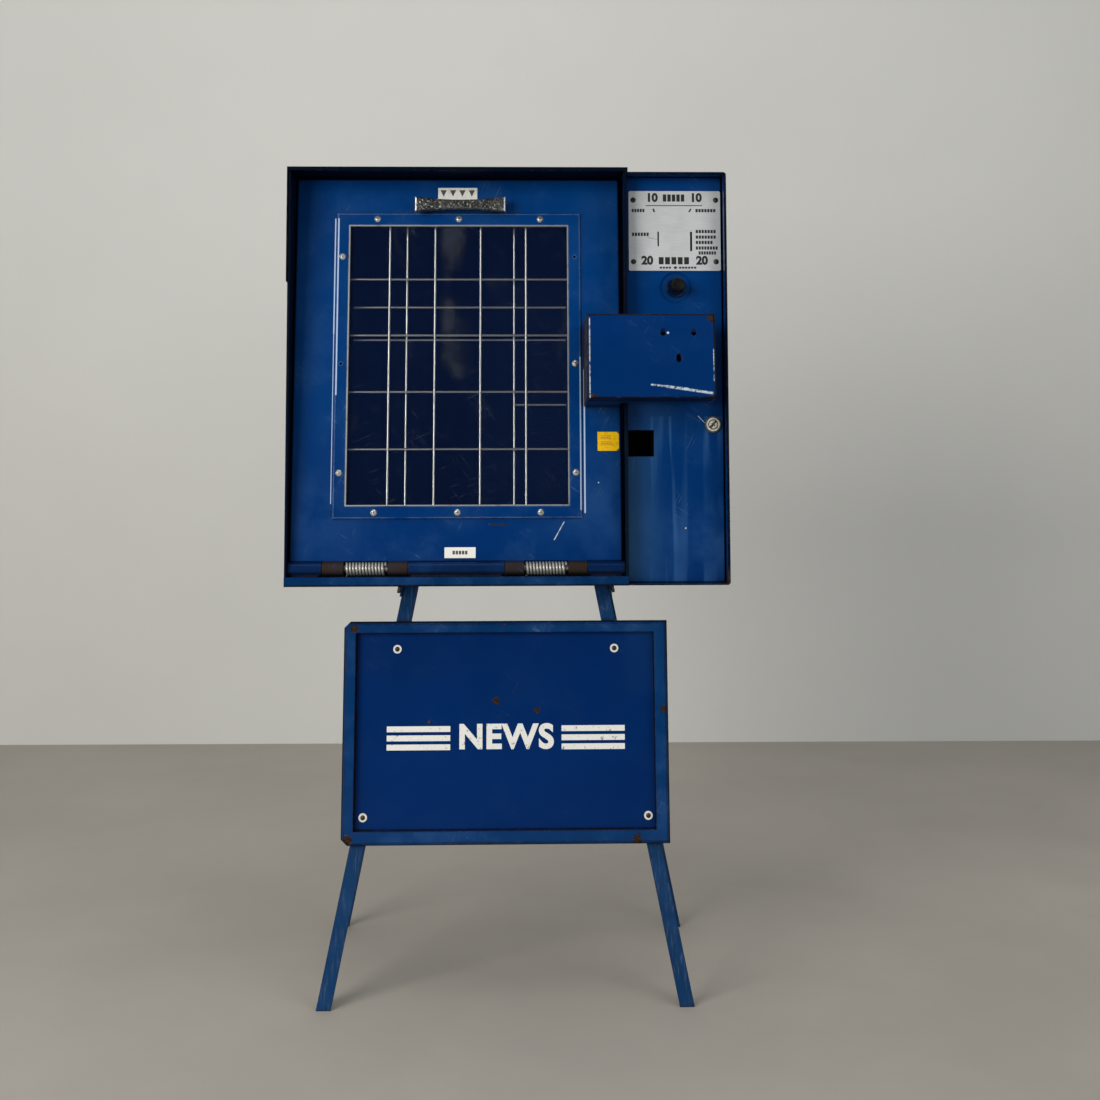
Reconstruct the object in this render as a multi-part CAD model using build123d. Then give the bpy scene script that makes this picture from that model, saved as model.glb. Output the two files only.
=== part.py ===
"""Newspaper vending box on a four-legged angle-iron stand, in millimetres.

+Z is up, the door faces -Y, +X is to the viewer's right. Drawing zero: on the floor, midway between the
legs. The finished part is moved so that its origin is the middle of its overall footprint on the floor.
"""

from build123d import *
import math
import os

# ---- driving dimensions -------------------------------------------------------------------------
SHEET = 1.6                # painted steel sheet of the cabinet
CABINET_LEFT = -284.5
CABINET_RIGHT = 291.5
DIVIDER = 159.5            # right face of the wall between paper and coin compartments
CABINET_FRONT = -185.0
CABINET_BACK = 185.0
CABINET_BOTTOM = 539.0
CABINET_TOP = 1086.0
FOOTPRINT_X = 1.7          # middle of the overall footprint, seen from drawing zero
FOOTPRINT_Y = -29.9
HEM = 4.0                  # thickness of the folded front edge of the divider wall
HEM_DEPTH = 9.0
FLANGE = 16.0              # turned-in joining flange
LIP_TOP = 551.0            # upper edge of the floor's turned-up front lip
SKIRT_BOTTOM = 934.0       # lower edge of the hood's side skirt
HOUSING_TOP = 1080.5
RIVET_RADIUS = 2.4

DOOR_LEAN = 3.8            # degrees the closed door leans back
DOOR_LEFT = -280.9
DOOR_RIGHT = 152.3
DOOR_BOTTOM = 9.6          # all door heights are measured up the door from the hinge axis
DOOR_TOP = 521.0
DOOR_SHEET = 1.5
DOOR_DEPTH = 14.0
HINGE_Y = CABINET_FRONT + 14.0
HINGE_Z = 560.5
SLEEVE_RADIUS = 9.0
ROD_RADIUS = 4.75
RUNNING_FIT = 0.1          # radial clearance of every turning or sliding fit

WINDOW_X = -63.0
WINDOW_MID = 269.0
WINDOW_WIDTH = 293.5
WINDOW_HEIGHT = 376.0
FRAME_MARGIN = 17.0
FRAME_RISE = 2.6
PANE = 3.0
SCREW_ROW = 109.0          # spacing of the screws along the top and bottom of the window
SCREW_COLUMN = 144.7       # spacing of the screws up its sides
SCREW_RADIUS = 2.0

GUARD_Y = 9.5
GUARD_HALF_W = 149.0
GUARD_HALF_H = 190.5
GUARD_WIRE = 1.6           # wire radius
GUARD_PITCH_X = 61.0
GUARD_PITCH_Z = 76.4
GUARD_BORDER = 2.0
BAIL_Y = 24.0
BAIL_Z = 58.0
BAIL_WIRE = 1.5
BAIL_ROD = 2.0
BAIL_TOP = 470.0

COVER_LEFT = 103.5
COVER_RIGHT = 266.3
COVER_LOW = 211.5
COVER_HIGH = 319.8
COVER_FRONT = -90.0        # front of the latch cover, ahead of the door's face
COVER_NOTCH = -39.5        # back edge where it bridges the divider wall

PANEL_Y = CABINET_FRONT + 25.0
PANEL_BACK = PANEL_Y + SHEET
COIN_MID = (DIVIDER + CABINET_RIGHT) / 2
DIME_X = COIN_MID - 22.0
DIME_Z = 995.0
QUARTER_X = COIN_MID + 22.0
QUARTER_Z = 991.7
PLATE_MID = 1006.0
BUTTON_X = COIN_MID + 1.0
BUTTON_Z = 930.0
LOCK_X = COIN_MID + 48.6
LOCK_Z = 747.4
RETURN_RIGHT = 195.6
RETURN_LOW = 705.4
RETURN_HIGH = 740.0
MECH_Y = -104.0            # front face of the coin mechanism plate
LATCH_Y = -117.0
LATCH_Z = 828.5
LATCH_TRAVEL = 14.0
GUIDE_LENGTH = 18.0
BOLT_TIP = DIVIDER - 1.3
BOLT_LENGTH = 47.8
BOLT_PIN_X = BOLT_TIP + 41.0
LEVER_SWING = 11.0         # degrees either side of upright
LEVER_REACH = LATCH_TRAVEL / (2 * math.sin(math.radians(LEVER_SWING)))
RETURN_PIVOT_Y = -120.0
RETURN_PIVOT_Z = 962.0
PIN_RADIUS = 3.0

BAR = 19.0                 # width of the angle-iron legs
BAR_THICKNESS = 3.0
LEG_TOP = CABINET_BOTTOM - 2.6
FRONT_FOOT = (233.0, -159.6)
FRONT_HEAD = (126.2, -120.0)
REAR_FOOT = (250.0, 152.0)
REAR_HEAD = (138.8, 112.0)
RAIL_THICKNESS = 2.5
RAIL_LOW = 520.0
LEG_BOLT_Z = 528.0
SIDE_BRACE_Z = 330.0
REAR_BRACE_Z = 350.0
BOLT_RADIUS = 3.0

CARD_WIDTH = 427.0
CARD_HEIGHT = 285.0
CARD_DEPTH = 12.0
CARD_SHEET = 1.5
CARD_BOTTOM = 203.4
CARD_SCREWS = (451.6, 237.6)
CARD_LIP_LEFT = 16.0
CARD_LIP_RIGHT = 18.0
CARD_LIP_LOW = 18.0
CARD_LIP_HIGH = 14.6
CARD_BEVEL = 4.0
CARD_CORNER = 8.0          # cut corners at the left of the card frame
CARD_EDGE = 9.0            # gap from the frame's inside to the card panel
CARD_LEAN = math.degrees(math.atan2(FRONT_HEAD[1] - FRONT_FOOT[1], CABINET_BOTTOM))

# spans along the hinge rod, from left to right
SLEEVE_SPANS = ((-281.3, -237.7), (-126.2, -1.3), (106.9, 155.0))
KNUCKLE_SPANS = ((-237.1, -209.4), (-152.7, -126.7), (-0.8, 24.1), (81.4, 106.3))
SPRING_SPANS = ((-208.9, -153.2), (24.6, 80.9))


# ---- helpers ------------------------------------------------------------------------------------
def block(x0, x1, y0, y1, z0, z1):
    """A rectangular block between two corners."""
    size = (abs(x1 - x0), abs(y1 - y0), abs(z1 - z0))
    return Pos((x0 + x1) / 2, (y0 + y1) / 2, (z0 + z1) / 2) * Box(*size)


def rod(radius, start, end):
    """A round bar from start to end."""
    start = Vector(*start)
    run = Vector(*end) - start
    return extrude(Plane(origin=start, z_dir=run) * Circle(radius), run.length)


def tube_x(outer, inner, x0, x1, y, z):
    """A tube along X."""
    return rod(outer, (x0, y, z), (x1, y, z)) - rod(inner, (x0 - 1, y, z), (x1 + 1, y, z))


def pin_y(radius, x, z, y0, y1):
    """A round bar along Y."""
    return rod(radius, (x, y0, z), (x, y1, z))


def hexagon(across, start, direction, thickness, bore=0.0):
    """A hexagonal bolt head or nut standing on start and growing along direction."""
    outline = RegularPolygon(across / math.sqrt(3), 6)
    if bore:
        outline -= Circle(bore)
    return extrude(Plane(origin=start, z_dir=direction) * outline, thickness)


def coil(radius, wire, pitch, turns, start, axis, first):
    """A helical spring that starts on the side called first."""
    path = Helix(pitch, pitch * turns, radius)
    profile = Plane(origin=path @ 0, z_dir=path % 0) * Circle(wire / 2)
    place = Plane(origin=start, x_dir=first, z_dir=axis)
    return place.location * sweep(profile, path=path)


def group(shapes):
    """Separate solids kept together in one node."""
    solids = []
    for shape in shapes:
        solids.extend(shape.solids())
    return Compound(children=solids)


def domed_pin(head, rise, shank, length):
    """A round-headed pin along Y with its head below y = 0."""
    ball = (rise * rise + head * head) / (2 * rise)
    half = math.asin(head / ball) / 2
    middle = (ball * math.sin(half), ball - rise - ball * math.cos(half))
    outline = ThreePointArc((0, -rise), middle, (head, 0))
    outline += Polyline((head, 0), (shank, 0), (shank, length), (0, length), (0, -rise))
    return revolve(make_face(outline), Axis.Y)


def dome_screw(x, y, z, head, rise, shank, length):
    """A slotted round-headed screw whose head bears on the plane y and faces -Y."""
    slot = block(-head, head, -rise - 1, -rise * 0.5, -head * 0.13, head * 0.13)
    return Pos(x, y, z) * (domed_pin(head, rise, shank, length) - slot)


def rivet(point, angle, length):
    """A domed rivet whose head faces -Y, turned about Z by angle."""
    pin = domed_pin(RIVET_RADIUS * 1.9, RIVET_RADIUS * 0.8, RIVET_RADIUS, length)
    return Pos(*point) * Rot(0, 0, angle) * pin


def on_door(shape):
    """Move a shape drawn on an upright door, with the hinge axis at the origin, to its closed place."""
    return Pos(0, HINGE_Y, HINGE_Z) * Rot(-DOOR_LEAN, 0, 0) * shape


def along_leg(foot, head, z):
    """Plan position of a leg's centre line at a height."""
    share = z / CABINET_BOTTOM
    return tuple(f + (h - f) * share for f, h in zip(foot, head))


def on_card(shape):
    """Move a shape drawn on an upright card frame, back face at y = 0, to the front legs."""
    leg_y = along_leg(FRONT_FOOT, FRONT_HEAD, CARD_BOTTOM)[1]
    return Pos(0, leg_y, CARD_BOTTOM) * Rot(-CARD_LEAN, 0, 0) * shape


# ---- where the fasteners go ---------------------------------------------------------------------
def window_screw_places():
    """All twelve screw holes round the window."""
    half_w = WINDOW_WIDTH / 2 + FRAME_MARGIN / 2
    half_h = WINDOW_HEIGHT / 2 + FRAME_MARGIN / 2
    places = []
    for step in (-1, 0, 1):
        for side in (-1, 1):
            places.append((WINDOW_X + step * SCREW_ROW, WINDOW_MID + side * half_h))
            places.append((WINDOW_X + side * half_w, WINDOW_MID + step * SCREW_COLUMN))
    return places


def lost_window_screws():
    """The two holes whose screws have dropped out: middle left and upper right."""
    half_w = WINDOW_WIDTH / 2 + FRAME_MARGIN / 2
    return [(WINDOW_X - half_w, WINDOW_MID), (WINDOW_X + half_w, WINDOW_MID + SCREW_COLUMN)]


def fitted_window_screws():
    return [place for place in window_screw_places() if place not in lost_window_screws()]


def handle_places():
    return [(WINDOW_X + 2.5 + side * 49.0, 481.6) for side in (-1, 1)]


def cover_rivet_places():
    ends = (COVER_LOW, 1), (COVER_HIGH, -1)
    left = [(COVER_LEFT + 9, edge + inward * 28) for edge, inward in ends]
    return left + [(COVER_LEFT + 36, edge + inward * 9) for edge, inward in ends]


def plate_screw_places():
    return [(COIN_MID + side * 55.2, PLATE_MID + rise * 41.5) for side in (-1, 1) for rise in (-1, 1)]


def back_rivet_places():
    """Rivets of the back panel: three columns of five."""
    columns = (CABINET_LEFT + 9, DIVIDER - 9, CABINET_RIGHT - 11)
    return [(x, CABINET_BOTTOM + 30 + step * 118.0) for x in columns for step in range(5)]


def skirt_rivet_places():
    return [(y, 1012.0) for y in (-130.0, 0.0, 130.0)]


def card_screw_places():
    """Card screws, which also hold the frame to the front legs, in the card's own plane."""
    places = []
    for z in CARD_SCREWS:
        up = (z - CARD_BOTTOM) / math.cos(math.radians(CARD_LEAN))
        x = along_leg(FRONT_FOOT, FRONT_HEAD, z)[0]
        places.extend([(-x, up), (x, up)])
    return places


def drill_y(shape, places, radius, y0, y1):
    """Bore holes along Y."""
    for x, z in places:
        shape -= pin_y(radius, x, z, y0, y1)
    return shape


# ---- cabinet ------------------------------------------------------------------------------------
def wall(x, inward, hem):
    """A side wall of the paper compartment: x is its outer face, inward the way its flanges turn."""
    low = CABINET_BOTTOM + SHEET
    high = CABINET_TOP - SHEET
    rear = CABINET_BACK - SHEET
    panel = block(x, x + inward * SHEET, CABINET_FRONT, rear, low, high)
    panel += block(x, x + inward * hem, CABINET_FRONT, CABINET_FRONT + HEM_DEPTH, low, high)
    panel += block(x, x + inward * FLANGE, rear - SHEET, rear, low, high)
    panel += block(x, x + inward * FLANGE, CABINET_FRONT + 40, rear, low, low + SHEET)
    return drill_y(panel, back_rivet_places(), RIVET_RADIUS, CABINET_BACK - 8, CABINET_BACK)


def left_side_panel():
    panel = wall(CABINET_LEFT, 1, HEM * 0.75)
    for y, z in skirt_rivet_places():
        panel -= rod(RIVET_RADIUS, (CABINET_LEFT - 5, y, z), (CABINET_LEFT + 5, y, z))
    return panel


def divider_panel():
    panel = wall(DIVIDER, -1, HEM)
    return panel - block(DIVIDER - 9, DIVIDER + 9, LATCH_Y - 5, LATCH_Y + 5, LATCH_Z - 6, LATCH_Z + 6)


def floor_panel():
    front = CABINET_FRONT
    top = CABINET_BOTTOM + SHEET
    panel = block(CABINET_LEFT, DIVIDER, front, CABINET_BACK - SHEET, CABINET_BOTTOM, top)
    panel += block(CABINET_LEFT, DIVIDER, front - SHEET, front, CABINET_BOTTOM, LIP_TOP)
    shelf = block(CABINET_LEFT + HEM, DIVIDER - HEM - 0.5, front - SHEET, front + 13, LIP_TOP - SHEET, LIP_TOP)
    panel += shelf
    for x, y in rail_bolt_places():
        panel -= rod(BOLT_RADIUS, (x, y, CABINET_BOTTOM - 1), (x, y, top + 1))
    return panel


def back_panel():
    rear = CABINET_BACK - SHEET
    panel = block(CABINET_LEFT, DIVIDER, rear, CABINET_BACK, CABINET_BOTTOM, CABINET_TOP - SHEET)
    panel += block(DIVIDER, CABINET_RIGHT, rear, CABINET_BACK, CABINET_BOTTOM, HOUSING_TOP)
    return drill_y(panel, back_rivet_places(), RIVET_RADIUS, rear - 2, CABINET_BACK + 2)


def rain_hood():
    left = CABINET_LEFT - SHEET
    right = DIVIDER + SHEET
    front = CABINET_FRONT - 2
    back = CABINET_BACK + SHEET
    under = CABINET_TOP - SHEET
    hood = block(left, right, front, back, under, CABINET_TOP)
    hood += block(left, right, front, CABINET_FRONT, CABINET_TOP - 5, CABINET_TOP)
    hood += block(left, CABINET_LEFT, front, back, SKIRT_BOTTOM, CABINET_TOP)
    hood += block(DIVIDER, right, front, back, HOUSING_TOP, CABINET_TOP)
    hood += block(left, right, CABINET_BACK, back, HOUSING_TOP, CABINET_TOP)
    hood += block(left, DIVIDER, CABINET_BACK, back, CABINET_TOP - 20, CABINET_TOP)
    for y, z in skirt_rivet_places():
        hood -= rod(RIVET_RADIUS, (CABINET_LEFT - 5, y, z), (CABINET_LEFT + 5, y, z))
    return hood


def cabinet_rivets():
    rivets = [rivet((x, CABINET_BACK, z), 180, 4.4) for x, z in back_rivet_places()]
    rivets += [rivet((CABINET_LEFT - SHEET, y, z), -90, 4.4) for y, z in skirt_rivet_places()]
    return group(rivets)


def rail_line(y, z):
    """Inner face of the slanted stand rail, on the right-hand side."""
    near = along_leg(FRONT_FOOT, FRONT_HEAD, z)[0] + BAR / 2
    far = along_leg(REAR_FOOT, REAR_HEAD, z)[0] + BAR / 2
    near_y = FRONT_HEAD[1]
    far_y = REAR_HEAD[1] - BAR
    return near + (far - near) * (y - near_y) / (far_y - near_y) + 0.15


def rail_bolt_places():
    places = []
    for y in (-60.0, 60.0):
        x = rail_line(y, CABINET_BOTTOM) - 9
        places.extend([(-x, y), (x, y)])
    return places


def rail_section(y, side):
    under = CABINET_BOTTOM - RAIL_THICKNESS
    inner = rail_line(y, under)
    low = rail_line(y, RAIL_LOW)
    outline = (
        (inner - BAR + RAIL_THICKNESS, under),
        (inner, under),
        (low, RAIL_LOW),
        (low + RAIL_THICKNESS, RAIL_LOW),
        (rail_line(y, CABINET_BOTTOM) + RAIL_THICKNESS, CABINET_BOTTOM),
        (inner - BAR + RAIL_THICKNESS, CABINET_BOTTOM),
    )
    corners = [(side * x, y, z) for x, z in outline]
    return make_face(Polyline(*corners, close=True))


def stand_rail(side):
    rail = loft([rail_section(FRONT_HEAD[1] - 4, side), rail_section(REAR_HEAD[1] + 4, side)], ruled=True)
    for x, y in rail_bolt_places():
        rail -= rod(BOLT_RADIUS, (x, y, RAIL_LOW + 5), (x, y, CABINET_BOTTOM + 1))
    return cut_bolt_holes(rail)


def rail_bolt(x, y):
    """A round-headed bolt through the cabinet floor and a stand rail."""
    top = CABINET_BOTTOM + SHEET
    cap = Pos(x, y, top - 5) * Sphere(7.6) & block(x - 8, x + 8, y - 8, y + 8, top, top + 5)
    return cap + rod(BOLT_RADIUS, (x, y, CABINET_BOTTOM - RAIL_THICKNESS - 7), (x, y, top + 0.1))


# ---- stand --------------------------------------------------------------------------------------
def leg(foot, head, side):
    """An angle-iron leg: one flat face to the front or back, the other on its outer side."""
    facing = 1 if foot[1] < 0 else -1
    profile = Pos(0, facing * BAR_THICKNESS / 2) * Rectangle(BAR, BAR_THICKNESS)
    profile += Pos(side * (BAR - BAR_THICKNESS) / 2, facing * BAR / 2) * Rectangle(BAR_THICKNESS, BAR)
    top = along_leg(foot, head, LEG_TOP)
    ends = ((foot, 0.0), (top, LEG_TOP))
    sections = [Plane((side * x, y, z)) * profile for (x, y), z in ends]
    shape = cut_bolt_holes(loft([section.faces()[0] for section in sections], ruled=True))
    return shape - [on_card(pin_y(SCREW_RADIUS, x, z, -9, 9)) for x, z in card_screw_places()]


def bolt_frame(foot, head, side, z, inset):
    """A point on a leg's outer face and the direction out of that face."""
    x, y = along_leg(foot, head, z)
    facing = 1 if foot[1] < 0 else -1
    slope = (foot[0] - head[0]) / CABINET_BOTTOM
    outward = Vector(side, 0, slope).normalized()
    return Vector(side * (x + BAR / 2), y + facing * inset, z), outward


def stand_bolt_places():
    """Head point, direction out of the joint and grip of every bolt in the stand."""
    places = []
    for side in (-1, 1):
        for foot, head in ((FRONT_FOOT, FRONT_HEAD), (REAR_FOOT, REAR_HEAD)):
            point, outward = bolt_frame(foot, head, side, LEG_BOLT_Z, BAR / 2 + 1)
            seat = point + outward * (RAIL_THICKNESS + 1.1)
            places.append((seat, outward, RAIL_THICKNESS + BAR_THICKNESS + 1.3))
            point, outward = bolt_frame(foot, head, side, SIDE_BRACE_Z, BAR / 2 + 2)
            places.append((point + outward * 0.1, outward, 2 * BAR_THICKNESS + 2.6))
        x, y = along_leg(REAR_FOOT, REAR_HEAD, REAR_BRACE_Z)
        back = Vector(side * x, y + 0.8 + BAR_THICKNESS, REAR_BRACE_Z)
        places.append((back, Vector(0, 1, 0), 2 * BAR_THICKNESS + 1.6))
    return places


def cut_bolt_holes(shape):
    for point, outward, grip in stand_bolt_places():
        shape -= rod(BOLT_RADIUS, tuple(point + outward), tuple(point - outward * (grip + 1)))
    return shape


def stand_bolts():
    bolts = [rail_bolt(x, y) for x, y in rail_bolt_places()]
    for point, outward, grip in stand_bolt_places():
        shank = rod(BOLT_RADIUS, tuple(point + outward), tuple(point - outward * (grip + 6.5)))
        bolts.append(shank + hexagon(10, tuple(point), tuple(outward), 4))
    return group(bolts)


def stand_nuts():
    under = CABINET_BOTTOM - RAIL_THICKNESS
    nuts = [hexagon(10, (x, y, under), (0, 0, -1), 5, BOLT_RADIUS) for x, y in rail_bolt_places()]
    for point, outward, grip in stand_bolt_places():
        nuts.append(hexagon(10, tuple(point - outward * grip), tuple(outward * -1), 5, BOLT_RADIUS))
    return group(nuts)


def brace_section(y, side):
    """Cross-section of a side brace, following the slant of the legs."""
    front_y = along_leg(FRONT_FOOT, FRONT_HEAD, SIDE_BRACE_Z)[1]
    rear_y = along_leg(REAR_FOOT, REAR_HEAD, SIDE_BRACE_Z)[1]
    share = (y - front_y) / (rear_y - front_y)
    corners = []
    for z in (SIDE_BRACE_Z - BAR / 2, SIDE_BRACE_Z + BAR / 2):
        near = along_leg(FRONT_FOOT, FRONT_HEAD, z)[0]
        far = along_leg(REAR_FOOT, REAR_HEAD, z)[0]
        outer = near + (far - near) * share + BAR / 2 - BAR_THICKNESS - 1.2
        corners.append((outer, z))
    (x0, z0), (x1, z1) = corners
    outline = ((x0, z0), (x1, z1), (x1 - BAR_THICKNESS, z1), (x0 - BAR_THICKNESS, z0))
    return make_face(Polyline(*[(side * x, y, z) for x, z in outline], close=True))


def side_brace(side):
    front_y = along_leg(FRONT_FOOT, FRONT_HEAD, SIDE_BRACE_Z)[1] + BAR_THICKNESS + 1.5
    rear_y = along_leg(REAR_FOOT, REAR_HEAD, SIDE_BRACE_Z)[1] - BAR_THICKNESS - 1.5
    return cut_bolt_holes(loft([brace_section(front_y, side), brace_section(rear_y, side)], ruled=True))


def rear_brace():
    x, y = along_leg(REAR_FOOT, REAR_HEAD, REAR_BRACE_Z)
    half = x + BAR / 2 - 2
    front = y + 0.8
    bar = block(-half, half, front, front + BAR_THICKNESS, REAR_BRACE_Z - BAR / 2, REAR_BRACE_Z + BAR / 2)
    return cut_bolt_holes(bar)


# ---- card on the front legs ---------------------------------------------------------------------
def card_frame():
    half = CARD_WIDTH / 2
    t = CARD_SHEET
    shell = block(-half, half, -CARD_DEPTH, 0, 0, CARD_HEIGHT)
    left_corners = shell.edges().filter_by(Axis.Y).group_by(Axis.X)[0]
    shell = chamfer(left_corners, CARD_CORNER)
    shell = chamfer(shell.faces().sort_by(Axis.Y)[0].edges(), CARD_BEVEL)
    hollow = block(-half + t, half - t, t - CARD_DEPTH, -t, t, CARD_HEIGHT - t)
    hollow = chamfer(hollow.edges().filter_by(Axis.Y).group_by(Axis.X)[0], CARD_CORNER)
    hollow = chamfer(hollow.faces().sort_by(Axis.Y)[0].edges(), CARD_BEVEL - 1)
    view = block(
        CARD_LIP_LEFT - half, half - CARD_LIP_RIGHT,
        -CARD_DEPTH - 1, -t - 1,
        CARD_LIP_LOW, CARD_HEIGHT - CARD_LIP_HIGH,
    )
    return on_card(drill_y(shell - hollow - view, card_screw_places(), SCREW_RADIUS, -9, 1))


def card_panel():
    edge = CARD_SHEET + CARD_EDGE
    half = CARD_WIDTH / 2 - edge
    panel = block(-half, half, -2 * CARD_SHEET - 0.1, -CARD_SHEET, edge, CARD_HEIGHT - edge)
    return on_card(drill_y(panel, card_screw_places(), SCREW_RADIUS, -9, 1))


def card_washers():
    front = -2 * CARD_SHEET - 0.1
    washers = []
    for x, z in card_screw_places():
        washers.append(pin_y(5.6, x, z, front - 1.4, front) - pin_y(SCREW_RADIUS, x, z, -9, 1))
    return on_card(group(washers))


def card_screws():
    front = -2 * CARD_SHEET - 1.5
    parts = []
    for x, z in card_screw_places():
        parts.append(dome_screw(x, front, z, 3.2, 1.6, SCREW_RADIUS, 14))
        parts.append(hexagon(7, (x, BAR_THICKNESS + 0.3, z), (0, 1, 0), 3.2, SCREW_RADIUS))
    return on_card(group(parts))


# ---- hinge --------------------------------------------------------------------------------------
def hinge_rod():
    return rod(ROD_RADIUS, (SLEEVE_SPANS[0][0], HINGE_Y, HINGE_Z), (SLEEVE_SPANS[-1][1], HINGE_Y, HINGE_Z))


def hinge_sleeves():
    """Three sleeves welded to the floor's front lip."""
    sleeves = []
    for x0, x1 in SLEEVE_SPANS:
        sleeve = rod(SLEEVE_RADIUS, (x0, HINGE_Y, HINGE_Z), (x1, HINGE_Y, HINGE_Z))
        sleeve += block(x0 + 4, x1 - 4, HINGE_Y - 5, HINGE_Y - 1, LIP_TOP, HINGE_Z)
        bore = rod(ROD_RADIUS + 0.01, (x0 - 1, HINGE_Y, HINGE_Z), (x1 + 1, HINGE_Y, HINGE_Z))
        sleeves.append(sleeve - bore)
    return group(sleeves)


def door_spring(span):
    """A coil spring round the hinge rod with one leg down to the cabinet floor."""
    wire = 3.5
    radius = SLEEVE_RADIUS - wire / 2 - 0.1
    turns = 12.4
    pitch = (span[1] - span[0] - wire - 0.6) / turns
    start = span[0] + wire / 2 + 0.3
    spring = coil(radius, wire, pitch, turns, (start, HINGE_Y, HINGE_Z), (1, 0, 0), (0, 1, 0))
    side = HINGE_Y + radius
    foot = CABINET_BOTTOM + SHEET + 1
    return spring + rod(wire / 2 - 0.05, (start, side, HINGE_Z + 1.5), (start, side, foot))


# ---- door, drawn upright with the hinge axis at the origin --------------------------------------
def door_panel():
    t = DOOR_SHEET
    tray = block(DOOR_LEFT, DOOR_RIGHT, 0, DOOR_DEPTH, DOOR_BOTTOM, DOOR_TOP)
    front = tray.edges().group_by(Axis.Y)[0]
    tray = fillet(front.filter_by(Axis.Z) + front.sort_by(Axis.Z)[-1:], 2.4)
    tray -= block(DOOR_LEFT + t, DOOR_RIGHT - t, t, DOOR_DEPTH + 1, DOOR_BOTTOM - 1, DOOR_TOP - t)
    for x0, x1 in KNUCKLE_SPANS:
        tray += block(x0, x1, 0, t, SLEEVE_RADIUS + 0.02, DOOR_BOTTOM)
    half_w = WINDOW_WIDTH / 2
    half_h = WINDOW_HEIGHT / 2
    tray -= block(WINDOW_X - half_w, WINDOW_X + half_w, -1, t + 1, WINDOW_MID - half_h, WINDOW_MID + half_h)
    tray = drill_y(tray, window_screw_places() + handle_places(), SCREW_RADIUS, -1, t + 1)
    tray = drill_y(tray, cover_rivet_places(), RIVET_RADIUS, -1, t + 1)
    return on_door(tray)


def door_knuckles():
    """Four knuckles welded to the door's lower edge."""
    tubes = [tube_x(SLEEVE_RADIUS, ROD_RADIUS + RUNNING_FIT, x0, x1, 0, 0) for x0, x1 in KNUCKLE_SPANS]
    return on_door(group(tubes))


def ring(width, height, margin, y0, y1):
    """A flat rectangular ring round the window, margin wide."""
    outer = block(
        WINDOW_X - width / 2 - margin, WINDOW_X + width / 2 + margin,
        y0, y1,
        WINDOW_MID - height / 2 - margin, WINDOW_MID + height / 2 + margin,
    )
    inner = block(
        WINDOW_X - width / 2, WINDOW_X + width / 2,
        y0 - 1, y1 + 1,
        WINDOW_MID - height / 2, WINDOW_MID + height / 2,
    )
    return outer, inner


def window_frame():
    outer, inner = ring(WINDOW_WIDTH, WINDOW_HEIGHT, FRAME_MARGIN, -FRAME_RISE, 0)
    outer = chamfer(outer.faces().sort_by(Axis.Y)[0].edges(), FRAME_RISE * 0.7)
    return on_door(drill_y(outer - inner, window_screw_places(), SCREW_RADIUS, -FRAME_RISE - 1, 1))


def window_trim():
    """Thin bright strip that lines the edge of the window opening."""
    strip = 1.5
    front = -FRAME_RISE - 0.4
    outer, inner = ring(WINDOW_WIDTH - 2 * strip, WINDOW_HEIGHT - 2 * strip, strip, front, DOOR_SHEET)
    return on_door(outer - inner)


def window_pane():
    half_w = WINDOW_WIDTH / 2 + FRAME_MARGIN - 4.5
    half_h = WINDOW_HEIGHT / 2 + FRAME_MARGIN - 4.5
    back = DOOR_SHEET + PANE
    pane = block(
        WINDOW_X - half_w, WINDOW_X + half_w,
        DOOR_SHEET, back,
        WINDOW_MID - half_h, WINDOW_MID + half_h,
    )
    return on_door(drill_y(pane, window_screw_places(), SCREW_RADIUS, 0, back + 1))


def window_screws():
    screws = [dome_screw(x, -FRAME_RISE, z, 4.6, 2.4, SCREW_RADIUS, 12) for x, z in fitted_window_screws()]
    return on_door(group(screws))


def window_nuts():
    back = DOOR_SHEET + PANE
    nuts = [hexagon(7, (x, back, z), (0, 1, 0), 2.6, SCREW_RADIUS) for x, z in fitted_window_screws()]
    return on_door(group(nuts))


def wire_guard():
    """Welded wire grid behind the window: four uprights, four cross wires and a border."""
    mid = WINDOW_MID + 1.5
    left = WINDOW_X - GUARD_HALF_W
    right = WINDOW_X + GUARD_HALF_W
    low = mid - GUARD_HALF_H
    high = mid + GUARD_HALF_H
    wires = rod(GUARD_BORDER, (left, GUARD_Y, low - 2), (left, GUARD_Y, high + 2))
    wires += rod(GUARD_BORDER, (right, GUARD_Y, low - 2), (right, GUARD_Y, high + 2))
    wires += rod(GUARD_BORDER, (left, GUARD_Y, low), (right, GUARD_Y, low))
    wires += rod(GUARD_BORDER, (left, GUARD_Y, high), (right, GUARD_Y, high))
    back = GUARD_Y + 2 * GUARD_WIRE - 0.3
    for step in (-1.5, -0.5, 0.5, 1.5):
        x = WINDOW_X - 1.5 + step * GUARD_PITCH_X
        wires += rod(GUARD_WIRE, (x, GUARD_Y, low), (x, GUARD_Y, high))
        z = mid + step * GUARD_PITCH_Z + 0.5
        wires += rod(GUARD_WIRE, (left, back, z), (right, back, z))
    return on_door(wires)


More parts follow.
